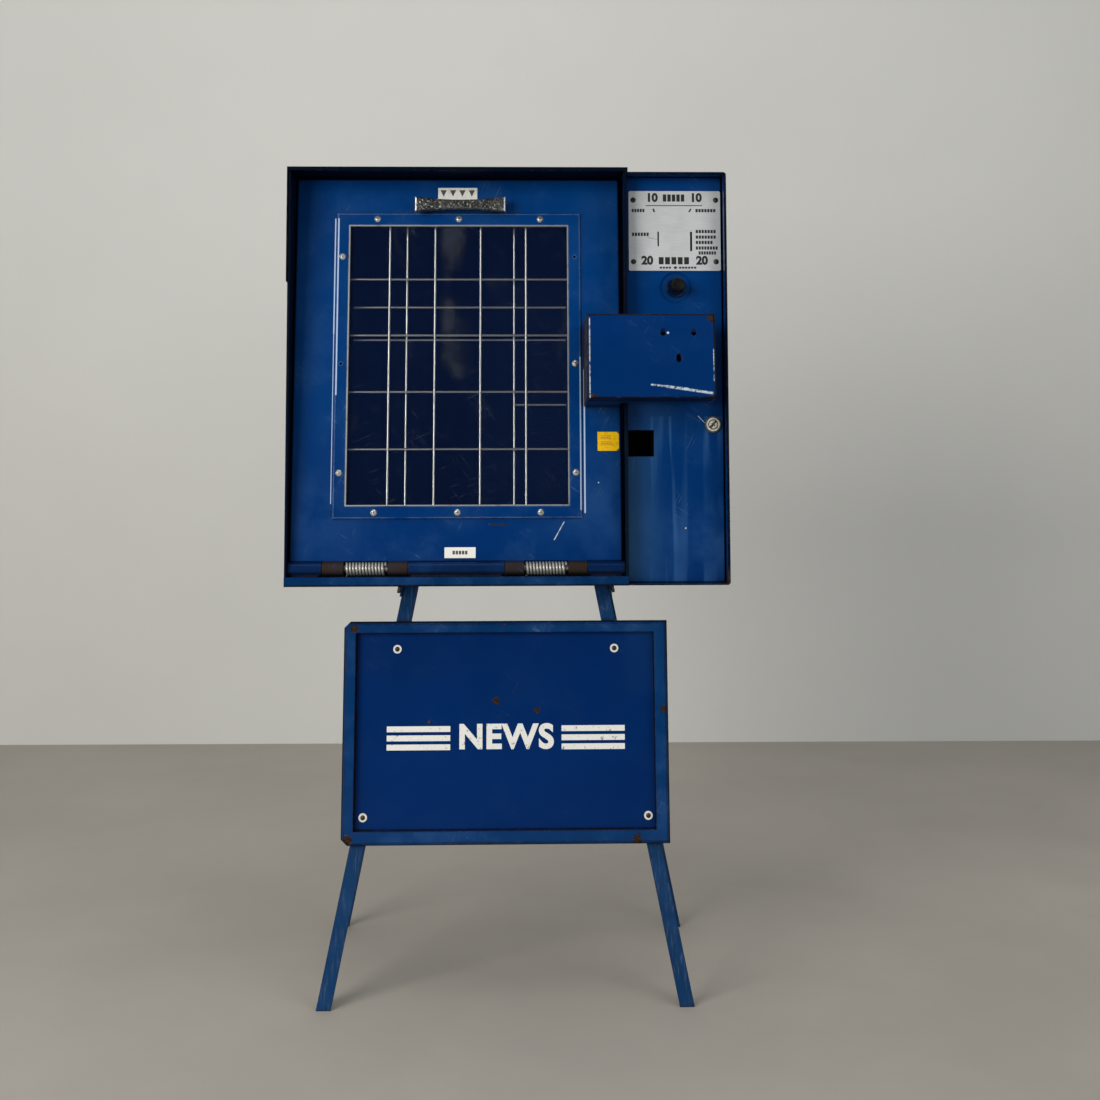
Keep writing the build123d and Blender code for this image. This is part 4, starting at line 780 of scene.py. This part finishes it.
def coin_panel_paint():
    panel = "coin_panel"
    dimple = "button_guide"
    below_lock = ((None, None, None), (None, None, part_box("lock_housing")[1].z))
    return enamel(
        "enamel_coin_panel", haze=0.12, chips=0.3, hairs=0.12,
        wave=0.0034, ripple=1.6 * MM, rough=0.16, gloss=0.40, shine=0.06,
        # Painted reflections in the cloudy places and the upright bands below the lock; painted
        # highlights by the button's dimple.
        haze_spots=haze_and_sheen_places(
            panel, ((0.12, 0.42), 75, 0.75), ((0.30, 0.08), 90, 0.45), ((0.97, 0.10), 65, 0.9),
        ),
        # Painted shade behind the latch cover and towards the bottom.
        stained=(behind_cover(), SHADE_BLACK, 0.95),
        low_dark=(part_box(panel)[0].z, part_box("latch_cover")[1].z, 0.35),
        glints=face_lines(panel, dimple, [
            ((-0.06, 0.35), (-0.02, 0.80), 1.5),
            ((0.30, -0.16), (0.85, -0.12), 1.1),
        ]),
        smears=(below_lock, 0.75),
        pale_streaks=[(part_way(panel, 0.74, 0.0, 0.405), part_way(panel, 0.90, 0.0, 0.365), 0.5 * MM)],
        pale_spots=box_spots(panel, [((0.60, 0.0, 0.13), 1.2)]),
    )


def paint_cabinet():
    inside = cabinet_inside()
    floor = "floor_panel"
    hood = "rain_hood"
    housing = "coin_housing"
    # Painted shade on the front hems and in the unlit space behind them.
    hems = front_hem(floor, 3.4, above=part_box(floor)[1].z)
    sheets = enamel("enamel_cabinet", chips=0.45, inside=inside, stained=(hems, HEM_SHADE, 0.96))
    floor_paint = enamel(
        "enamel_floor", BLUE_FLOOR, chips=0.6, inside=inside, haze=0.5,
        dark_lines=face_lines(floor, floor, [((0.0, 0.06), (1.0, 0.06), 2.4)]),
    )
    hood_paint = enamel(
        "enamel_hood", BLUE_DEEP, haze=0.2, chips=0.7, inside=inside, edge_width=2.2,
        # Painted shade on the hood's front hem.
        stained=(front_hem(hood, 3.4), HEM_SHADE, 0.97),
        rust_spots=box_spots(hood, [((1.0, 0.02, 0.02), 26)]),
    )
    housing_paint = enamel(
        "enamel_housing", haze=0.2, chips=0.75, edge_width=2.2, dark_edges=0.9,
        # Painted shade on the housing's front hem.
        stained=(front_hem(housing, 2.6), HEM_SHADE, 0.93),
        rust_spots=box_spots(housing, [((1.0, 0.0, 0.0), 30), ((0.02, 0.0, 0.0), 9)]),
    )
    # Painted highlights along the button guide's edges.
    guide_paint = enamel("enamel_button_guide", BLUE_GUIDE, pale_edges=0.8, edge_width=1.4, chips=0.2)
    return by_node(
        (sheets, ("left_side_panel", "divider_panel", "back_panel", "cabinet_rivets", "stand_rails")),
        (floor_paint, (floor,)),
        (hood_paint, (hood,)),
        (housing_paint, (housing,)),
        (coin_panel_paint(), ("coin_panel",)),
        (guide_paint, ("button_guide",)),
    )


def door_low_shade():
    """Painted shade: the lower part of the door darkens over a height."""
    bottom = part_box("door_panel")[0].z
    return (bottom, bottom + 260 * MM, 0.42)


def door_paint():
    door = "door_panel"
    window = "window_frame"
    return enamel(
        "enamel_door", haze=0.30, chips=0.45, wave=0.0013, rough=0.27, hairs=0.2, edge_width=2.4,
        # Painted shade towards the bottom and behind the latch cover.
        grime=1.0, low_dark=door_low_shade(), stained=(behind_cover(), SHADE_BLACK, 0.95),
        haze_spots=haze_and_sheen_places(
            door, ((0.92, 0.14), 120, 0.55), ((0.08, 0.12), 110, 0.35), ((0.95, 0.93), 80, 0.35),
        ),
        dark_streaks=face_lines(door, door, [
            ((0.60, 0.095), (0.66, 0.092), 1.6),
            ((0.855, 0.150), (0.89, 0.172), 1.3),
        ]),
        pale_streaks=face_lines(door, door, [((0.795, 0.055), (0.825, 0.100), 0.9)]),
        pale_spots=[(on_face(door, door, 0.93, 0.20), 1.0 * MM)],
        # Painted highlights along the pressed edge round the window.
        glints=face_lines(door, window, [
            ((-0.005, 0.60), (-0.005, 0.98), 1.2),
            ((-0.005, 0.05), (-0.005, 0.60), 0.7),
            ((1.010, 0.02), (1.010, 0.48), 1.4),
        ]),
    )


def window_frame_paint():
    window = "window_frame"
    return enamel(
        "enamel_window_frame", chips=0.45, wave=0.0008, rough=0.24,
        # Painted highlights along the edges and in glints; painted shade towards the bottom.
        dark_edges=0.0, pale_edges=0.85, edge_width=2.2, low_dark=door_low_shade(),
        glints=face_lines(window, window, [
            ((0.009, 0.40), (0.009, 0.98), 1.3),
            ((0.995, 0.03), (0.995, 0.52), 1.7),
        ]),
    )


COVER_HOLES = ((0.593, 0.781), (0.833, 0.781), (0.714, 0.481))    # shares of the cover's front
COVER_SHEET = 1.2 * MM


def cover_paint():
    """Latch cover: chipped all round, with painted shade in its three holes and its hollow, and painted
    highlights along its left and right bends.
    """
    cover = "latch_cover"
    low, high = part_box(cover)
    plane, facing = front_plane(cover)
    slope = -facing.z / facing.y
    face = plane.y - plane.z * slope
    hollow = (
        (low.x + 2 * COVER_SHEET, face + 0.7 * COVER_SHEET, low.z + 3 * COVER_SHEET),
        (high.x - 2 * COVER_SHEET, None, high.z - 3 * COVER_SHEET),
        slope,
    )
    left_wall = ((None, face + COVER_SHEET, None), (low.x + 0.6 * COVER_SHEET, None, None), slope)
    return enamel(
        "enamel_cover", BLUE_DEEP, haze=0.06, chips=0.95, wave=0.0006, rough=0.25, hairs=0.1,
        gloss=0.05, dark_edges=1.0, edge_width=2.8,
        # Painted shade in the hollow; the left side is primer.
        inside=hollow, stained=(left_wall, PRIMER, 0.95),
        # Painted shade in the three holes, with dark chipped rims.
        dark_spots=[(on_face(cover, cover, x, z), 3.8 * MM) for x, z in COVER_HOLES],
        dark_lines=border_lines(cover, 1.8 * MM, 0.9 * MM),
        rust_spots=box_spots(cover, [
            ((0.985, 0.0, 0.97), 17), ((0.985, 0.0, 0.03), 14), ((0.03, 0.0, 0.03), 15),
            ((0.0, 0.5, 0.97), 14), ((0.45, 0.0, 1.0), 9), ((0.05, 0.0, 1.0), 9),
            ((0.30, 0.0, 0.0), 7), ((0.50, 0.0, 0.0), 7), ((0.80, 0.0, 0.0), 8), ((0.40, 0.0, 1.0), 5),
        ]),
        pale_streaks=face_lines(cover, cover, [
            ((0.50, 0.205), (0.78, 0.160), 1.6),
            ((0.62, 0.185), (0.97, 0.110), 2.2),
            ((0.76, 0.005), (0.95, 0.008), 1.6),
            ((0.50, 0.005), (0.56, 0.005), 1.2),
            # Painted highlights along the left and right bends.
            ((0.022, 0.04), (0.022, 0.95), 1.0),
            ((0.985, 0.25), (0.985, 0.60), 0.8),
        ]),
        pale_spots=[(on_face(cover, cover, 0.632, 0.785), 1.8 * MM)],
    )


def paint_door():
    hinge = enamel("enamel_hinge", BLUE_HINGE, chips=1.0, wave=0.0003, rough=0.4)
    knuckles = enamel("enamel_knuckles", RUST_KNUCKLE, haze=0.12, chips=1.0, rough=0.5, gloss=0.03)
    return by_node(
        (door_paint(), ("door_panel", "door_strike")),
        (window_frame_paint(), ("window_frame",)),
        (cover_paint(), ("latch_cover", "cover_rivets")),
        (hinge, ("hinge_sleeves",)),
        (knuckles, ("door_knuckles",)),
    )


def card_frame_paint():
    """Folded rim of the card, dark along its border and along its four mitres."""
    rim = "card_frame"
    mitres = []
    for x_out, x_in in ((0.018, 0.040), (0.985, 0.960)):
        for z_out, z_in in ((0.02, 0.060), (0.98, 0.950)):
            mitres.append(((x_out, z_out), (x_in, z_in), 1.7))
    return enamel(
        "enamel_card_frame", BLUE_FRAME, haze=0.5, chips=0.85, wave=0.0008, rough=0.30, grime=1.0,
        dark_edges=0.95, edge_width=2.4, outline=(rim, 2.4 * MM),
        dark_lines=face_lines(rim, rim, mitres),
        rust_spots=box_spots(rim, [
            ((0.02, 0.05, 0.03), 12), ((0.45, 0.05, 0.005), 8), ((0.90, 0.05, 0.02), 13),
            ((0.985, 0.4, 0.60), 8), ((0.03, 0.6, 0.97), 9),
        ]),
    )


def card_paint():
    """Advertising card with rust specks, and the painted shadow of the rim's lip as a dark line along
    three sides.
    """
    card = "card_panel"
    specks = (
        (0.465, 0.655, 5.0), (0.60, 0.60, 4.6), (0.475, 0.64, 3.4), (0.595, 0.52, 3.6),
        (0.625, 0.42, 4.4), (0.50, 0.50, 3.2), (0.25, 0.55, 2.6), (0.36, 0.53, 2.4),
        (0.575, 0.47, 3.0), (0.06, 0.72, 2.6),
    )
    return enamel(
        "enamel_card", BLUE_CARD, haze=0.03, chips=0.3, wave=0.0005, rough=0.30, hairs=0.05, gloss=0.08,
        # The rim's lip casts this painted shadow along three sides.
        dark_lines=face_lines(card, card, [
            ((0.010, 0.03), (0.010, 0.97), 4.2),
            ((0.983, 0.03), (0.983, 0.97), 1.8),
            ((0.02, 0.030), (0.98, 0.030), 1.6),
        ]),
        rust_spots=[(part_way(card, x, 0.5, z), size * 1.7 * MM) for x, z, size in specks],
    )


def paint_stand():
    legs = enamel("enamel_stand", BLUE_STAND, haze=0.45, chips=0.8, wave=0.0004, rough=0.36, brushed=0.55)
    bars = ("front_left_leg", "front_right_leg", "rear_left_leg", "rear_right_leg")
    return by_node(
        (legs, bars + ("side_braces", "rear_brace")),
        (card_frame_paint(), ("card_frame",)),
        (card_paint(), ("card_panel",)),
    )


def metal_finishes():
    screws = metal("screw_steel", SCREW, 0.20, 0.35, solid=0.85)
    dark_screws = metal("screw_brown", SCREW_BROWN, 0.45, 0.6)
    bolts = metal("bolt_steel", BOLT, 0.45, 0.8)
    wire = metal("bright_wire", WIRE, 0.30, 0.05, grain_size=500.0, grain=0.01, grime=0.0)
    spring = metal("spring_steel", SPRING, 0.30, 0.40, RUST, solid=0.7)
    zinc = metal("inner_zinc", ZINC, 0.42, 0.4, ZINC_DULL)
    trim = metal("trim_edge", TRIM, 0.30, 0.75, TRIM_DULL, solid=0.5)
    brass = metal("latch_brass", BRASS, 0.30, 0.3)
    washer = paper("washer_white", WASHER, 0.35, WASHER_DIRT, 300.0, 0.45)
    coin_works = ("coin_mech_plate", "coin_chutes", "cash_box", "return_lever")
    return by_node(
        (screws, ("window_screws", "handle_screws")),
        (dark_screws, ("plate_screws", "card_screws")),
        (bolts, ("stand_bolts", "stand_nuts", "window_nuts", "lock_nut", "lock_cam")),
        (wire, ("wire_guard", "guard_clips", "paper_bail", "bail_clips")),
        (spring, ("door_springs", "latch_spring")),
        (zinc, coin_works + ("latch_guide", "hinge_rod")),
        (trim, ("window_trim",)),
        (lock_face(), ("lock_housing", "lock_plug")),
        (brass, ("latch_bolt", "release_lever")),
        (washer, ("card_washers",)),
        (cast_pewter(), ("pull_handle",)),
        (brushed_plate(), ("price_plate",)),
    )


def other_finishes():
    worn_edge = box_spots("yellow_sticker", [((1.0, 0.0, share), 6.0) for share in (0.0, 1.0)])
    return {
        "window_pane": clear_sheet(),
        "return_button": black_plastic(),
        "coin_return_cup": unlit_black("return_cup_black"),
        "pull_label": paper("label_white", PAPER, 0.30, PAPER_DIRT),
        "asset_label": paper("tag_white", CREAM, 0.10, TAG_DIRT),
        "yellow_sticker": paper("sticker_yellow", YELLOW, 0.35, YELLOW_DIRT, 160.0, 0.5, worn_edge),
    }


def dress_cad():
    finishes = {}
    for part in (paint_cabinet(), paint_door(), paint_stand(), metal_finishes(), other_finishes()):
        finishes.update(part)
    for name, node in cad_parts.items():
        node.data.materials.clear()
        node.data.materials.append(finishes[name])


# ---- thin printed pieces ----
INK_ROOT = -0.02 * MM      # printed marks start this far below the surface
CAP_HEIGHT = 0.69          # height of the built-in capitals, as a share of their size


class Print:
    """Thin marks laid on the front of a CAD node. Places are shares of the node's front, 0 to 1."""

    def __init__(self, name, node, body, material, slot, thick=0.12 * MM):
        self.name = name
        self.body = body
        self.material = material
        self.slot = slot
        self.thick = thick
        self.origin, self.normal = front_plane(node)
        self.low, self.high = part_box(node)
        self.mesh = bmesh.new()

    def point(self, x, z, lift=0.0):
        place = Vector((x, 0.0, z))
        fall = self.normal.dot(self.origin - place) / self.normal.y
        return place + Vector((0.0, fall, 0.0)) + self.normal * lift

    def share(self, u, v):
        x = self.low.x + (self.high.x - self.low.x) * u
        z = self.low.z + (self.high.z - self.low.z) * v
        return x, z

    def outline(self, corners):
        """A closed outline in shares, raised by the ink's thickness."""
        places = [self.share(u, v) for u, v in corners]
        top = [self.mesh.verts.new(self.point(x, z, self.thick)) for x, z in places]
        base = [self.mesh.verts.new(self.point(x, z, INK_ROOT)) for x, z in places]
        count = len(places)
        self.mesh.faces.new(top)
        self.mesh.faces.new(list(reversed(base)))
        for i in range(count):
            after = (i + 1) % count
            self.mesh.faces.new((top[i], base[i], base[after], top[after]))

    def bar(self, u0, u1, v0, v1, slant=0.0):
        self.outline(((u0, v0), (u1, v0), (u1 + slant, v1), (u0 + slant, v1)))

    def blocks(self, u0, u1, v0, v1, count):
        """A row of small blocks in place of the letters of a word."""
        step = (u1 - u0) / count
        for i in range(count):
            left = u0 + step * i
            self.bar(left, left + step * 0.76, v0, v1)

    def text(self, words, u, v, height, bold=0.02, spacing=1.0):
        """Plain numerals or letters centred on a place; height is a share of the front's height."""
        curve = bpy.data.curves.new(self.name + "_text", "FONT")
        curve.body = words
        curve.align_x = "CENTER"
        curve.align_y = "CENTER"
        curve.offset = bold
        curve.space_character = spacing
        curve.extrude = 0.5
        holder = new_object(self.name + "_text", curve)
        bpy.context.view_layer.update()
        shape = bpy.data.meshes.new_from_object(holder)
        bpy.data.objects.remove(holder)
        scale = (self.high.z - self.low.z) * height / CAP_HEIGHT
        x0, z0 = self.share(u, v)
        made = []
        for vertex in shape.vertices:
            lift = self.thick if vertex.co.z > 0 else INK_ROOT
            place = self.point(x0 + vertex.co.x * scale, z0 + vertex.co.y * scale, lift)
            made.append(self.mesh.verts.new(place))
        for face in shape.polygons:
            corners = [made[i] for i in face.vertices]
            if len(set(corners)) == len(corners):
                self.mesh.faces.new(corners)
        bpy.data.meshes.remove(shape)

    def finish(self):
        bmesh.ops.remove_doubles(self.mesh, verts=self.mesh.verts, dist=0.001 * MM)
        bmesh.ops.recalc_face_normals(self.mesh, faces=self.mesh.faces)
        mesh = bpy.data.meshes.new(self.name)
        self.mesh.to_mesh(mesh)
        self.mesh.free()
        mesh.materials.append(self.material)
        piece = new_object(self.name, mesh)
        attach(piece, self.body)
        return piece


def card_lettering():
    """A plain word between two sets of bars."""
    marks = Print("card_lettering", "card_panel", "cabinet", ink("ink_white", CREAM, 0.8), "white_paper")
    middle = 0.468
    marks.text("NEWS", 0.5, middle, 0.112, 0.038, 1.10)
    for left, right in ((0.115, 0.320), (0.680, 0.885)):
        for low, high in ((0.030, 0.058), (-0.014, 0.014), (-0.058, -0.030)):
            marks.bar(left, right, middle + low, middle + high)
    return marks.finish()


def plate_printing():
    """Bare numbers by the coin slots, and blocks in place of every word."""
    black = ink("ink_black", INK)
    marks = Print("plate_printing", "price_plate", "cabinet", black, "black_plastic", 0.06 * MM)
    for number, height, spots, word in (
        ("10", 0.913, (0.255, 0.735), (0.375, 0.62)),
        ("20", 0.125, (0.200, 0.795), (0.325, 0.67)),
    ):
        for u in spots:
            marks.text(number, u, height, 0.098, 0.05)
        marks.blocks(word[0], word[1], height - 0.045, height + 0.045, 5)
    marks.bar(0.185, 0.805, 0.812, 0.822)
    for left, right, count in ((0.035, 0.18, 5), (0.73, 0.955, 7)):
        marks.blocks(left, right, 0.735, 0.775, count)
    marks.bar(0.272, 0.290, 0.735, 0.778, -0.012)
    marks.bar(0.650, 0.668, 0.735, 0.778, 0.020)
    marks.blocks(0.035, 0.225, 0.435, 0.478, 6)
    for left, right, height, count in (
        (0.73, 0.955, 0.492, 7),
        (0.73, 0.955, 0.422, 7),
        (0.73, 0.92, 0.355, 6),
        (0.73, 0.975, 0.285, 8),
        (0.76, 0.955, 0.223, 7),
    ):
        marks.blocks(left, right, height - 0.020, height + 0.020, count)
    marks.blocks(0.335, 0.465, 0.027, 0.050, 4)
    marks.blocks(0.545, 0.740, 0.027, 0.050, 6)
    marks.outline(((0.505, 0.018), (0.528, 0.038), (0.505, 0.058), (0.482, 0.038)))
    return marks.finish()


def label_marks():
    """Arrows on the pull label, blocks on the tag and rows on the yellow sticker."""
    black = ink("ink_label", INK_GREY)
    pull = Print("pull_label_arrows", "pull_label", "door", black, "black_plastic", 0.05 * MM)
    for u in (0.14, 0.38, 0.62, 0.86):
        pull.outline(((u - 0.08, 0.82), (u + 0.08, 0.82), (u, 0.30)))
    pull.finish()
    tag = Print("asset_label_marks", "asset_label", "door", black, "black_plastic", 0.05 * MM)
    tag.blocks(0.26, 0.76, 0.34, 0.68, 5)
    tag.finish()
    ochre = ink("ink_ochre", INK_OCHRE)
    sticker = Print("yellow_sticker_marks", "yellow_sticker", "door", ochre, "yellow_vinyl", 0.05 * MM)
    for v in (0.68, 0.36):
        sticker.bar(0.14, 0.66, v + 0.10, v + 0.13)
        sticker.bar(0.14, 0.66, v - 0.06, v - 0.03)
        sticker.blocks(0.16, 0.64, v, v + 0.06, 4)
    sticker.finish()


# ---- stage, light and camera ----
def stage_material(name, base, scale, contrast):
    f = Finish(name)
    patch = f.noise(scale, 5.0, 0.6)
    fine = f.noise(scale * 60.0, 3.0, 0.6)
    colour = f.mix(f.ramp(patch, 0.3, 0.7), base, darker(base, 1.0 - contrast))
    return f.close(colour, 0.75, 0.0, f.bump(fine, 0.15 * MM))


def stage_sheet(name, corners, material):
    mesh = bpy.data.meshes.new(name)
    mesh.from_pydata(corners, [], [(0, 1, 2, 3)])
    mesh.materials.append(material)
    new_object(name, mesh)


def backdrop():
    """Pale floor that meets a pale wall behind the box."""
    width, front, wall_y, height = 7.0, -6.0, 1.49, 4.5
    left = (-width, wall_y + 0.10)
    right = (width, wall_y - 0.10)
    floor = [(-width, front, 0), (width, front, 0), (*right, 0), (*left, 0)]
    wall = [(*left, 0), (*right, 0), (*right, height), (*left, height)]
    stage_sheet("studio_floor", floor, stage_material("floor_pale", FLOOR_PALE, 2.2, 0.10))
    stage_sheet("studio_wall", wall, stage_material("wall_pale", WALL_PALE, 1.3, 0.04))


def area_light(name, place, target, width, height, power, colour=(1.0, 1.0, 1.0)):
    data = bpy.data.lights.new(name, "AREA")
    data.shape = "RECTANGLE"
    data.size = width
    data.size_y = height
    data.energy = power
    data.color = colour
    lamp = new_object(name, data)
    lamp.location = place
    lamp.rotation_euler = (Vector(target) - Vector(place)).to_track_quat("-Z", "Y").to_euler()
    return lamp


ROOM_LIGHT = 0.36          # strength of the room's soft light
ROOM_REFLECTED = 0.04      # how bright the room looks in glossy surfaces


def studio_light():
    aim = (0.0, 0.0, 0.75)
    area_light("key", (-1.9, -2.4, 1.35), aim, 1.6, 1.6, 68.0, (1.0, 0.985, 0.95))
    area_light("fill", (2.2, -2.6, 1.35), aim, 1.6, 2.0, 24.0, (0.93, 0.97, 1.0))
    area_light("top", (0.0, -0.6, 3.4), (0.0, 0.3, 0.6), 3.0, 2.4, 30.0)
    area_light("strip", (0.40, -2.53, 0.57), (0.18, -0.13, 0.65), 0.10, 0.46, 0.20, (0.35, 0.85, 1.0))
    world = bpy.data.worlds.new("soft_room")
    world.use_nodes = True
    nodes = world.node_tree.nodes
    links = world.node_tree.links
    room = nodes["Background"]
    room.inputs["Color"].default_value = (0.90, 0.91, 0.93, 1.0)
    rays = nodes.new("ShaderNodeLightPath")
    dim = nodes.new("ShaderNodeMapRange")
    dim.inputs["To Min"].default_value = ROOM_LIGHT
    dim.inputs["To Max"].default_value = ROOM_REFLECTED
    links.new(rays.outputs["Is Glossy Ray"], dim.inputs["Value"])
    links.new(dim.outputs["Result"], room.inputs["Strength"])
    bpy.context.scene.world = world


LENS_RATIO = 13.0 / 11.0   # focal length over sensor width
HORIZON_SHIFT = -0.1558    # vertical lens shift, in sensor widths
CAMERA_PLACE = (0.02023, -1.84526, 0.68978)
CAMERA_YAW = 0.0214        # angles in radians
CAMERA_PITCH = 0.0691
CAMERA_ROLL = -0.0026


def camera():
    data = bpy.data.cameras.new("camera")
    data.sensor_fit = "HORIZONTAL"
    data.sensor_width = 36.0
    data.lens = LENS_RATIO * data.sensor_width
    data.shift_y = HORIZON_SHIFT
    data.clip_start = 0.05
    eye = new_object("camera", data)
    ahead = Vector((
        math.sin(CAMERA_YAW) * math.cos(CAMERA_PITCH),
        math.cos(CAMERA_YAW) * math.cos(CAMERA_PITCH),
        math.sin(CAMERA_PITCH),
    ))
    flat_right = Vector((math.cos(CAMERA_YAW), -math.sin(CAMERA_YAW), 0.0))
    flat_up = flat_right.cross(ahead)
    right = flat_right * math.cos(CAMERA_ROLL) + flat_up * math.sin(CAMERA_ROLL)
    up = flat_up * math.cos(CAMERA_ROLL) - flat_right * math.sin(CAMERA_ROLL)
    turn = Matrix((right, up, -ahead)).transposed()
    eye.matrix_world = Matrix.Translation(CAMERA_PLACE) @ turn.to_4x4()
    bpy.context.scene.camera = eye
    bpy.context.scene.view_settings.view_transform = "Standard"


dress_cad()
card_lettering()
plate_printing()
label_marks()
backdrop()
studio_light()
camera()
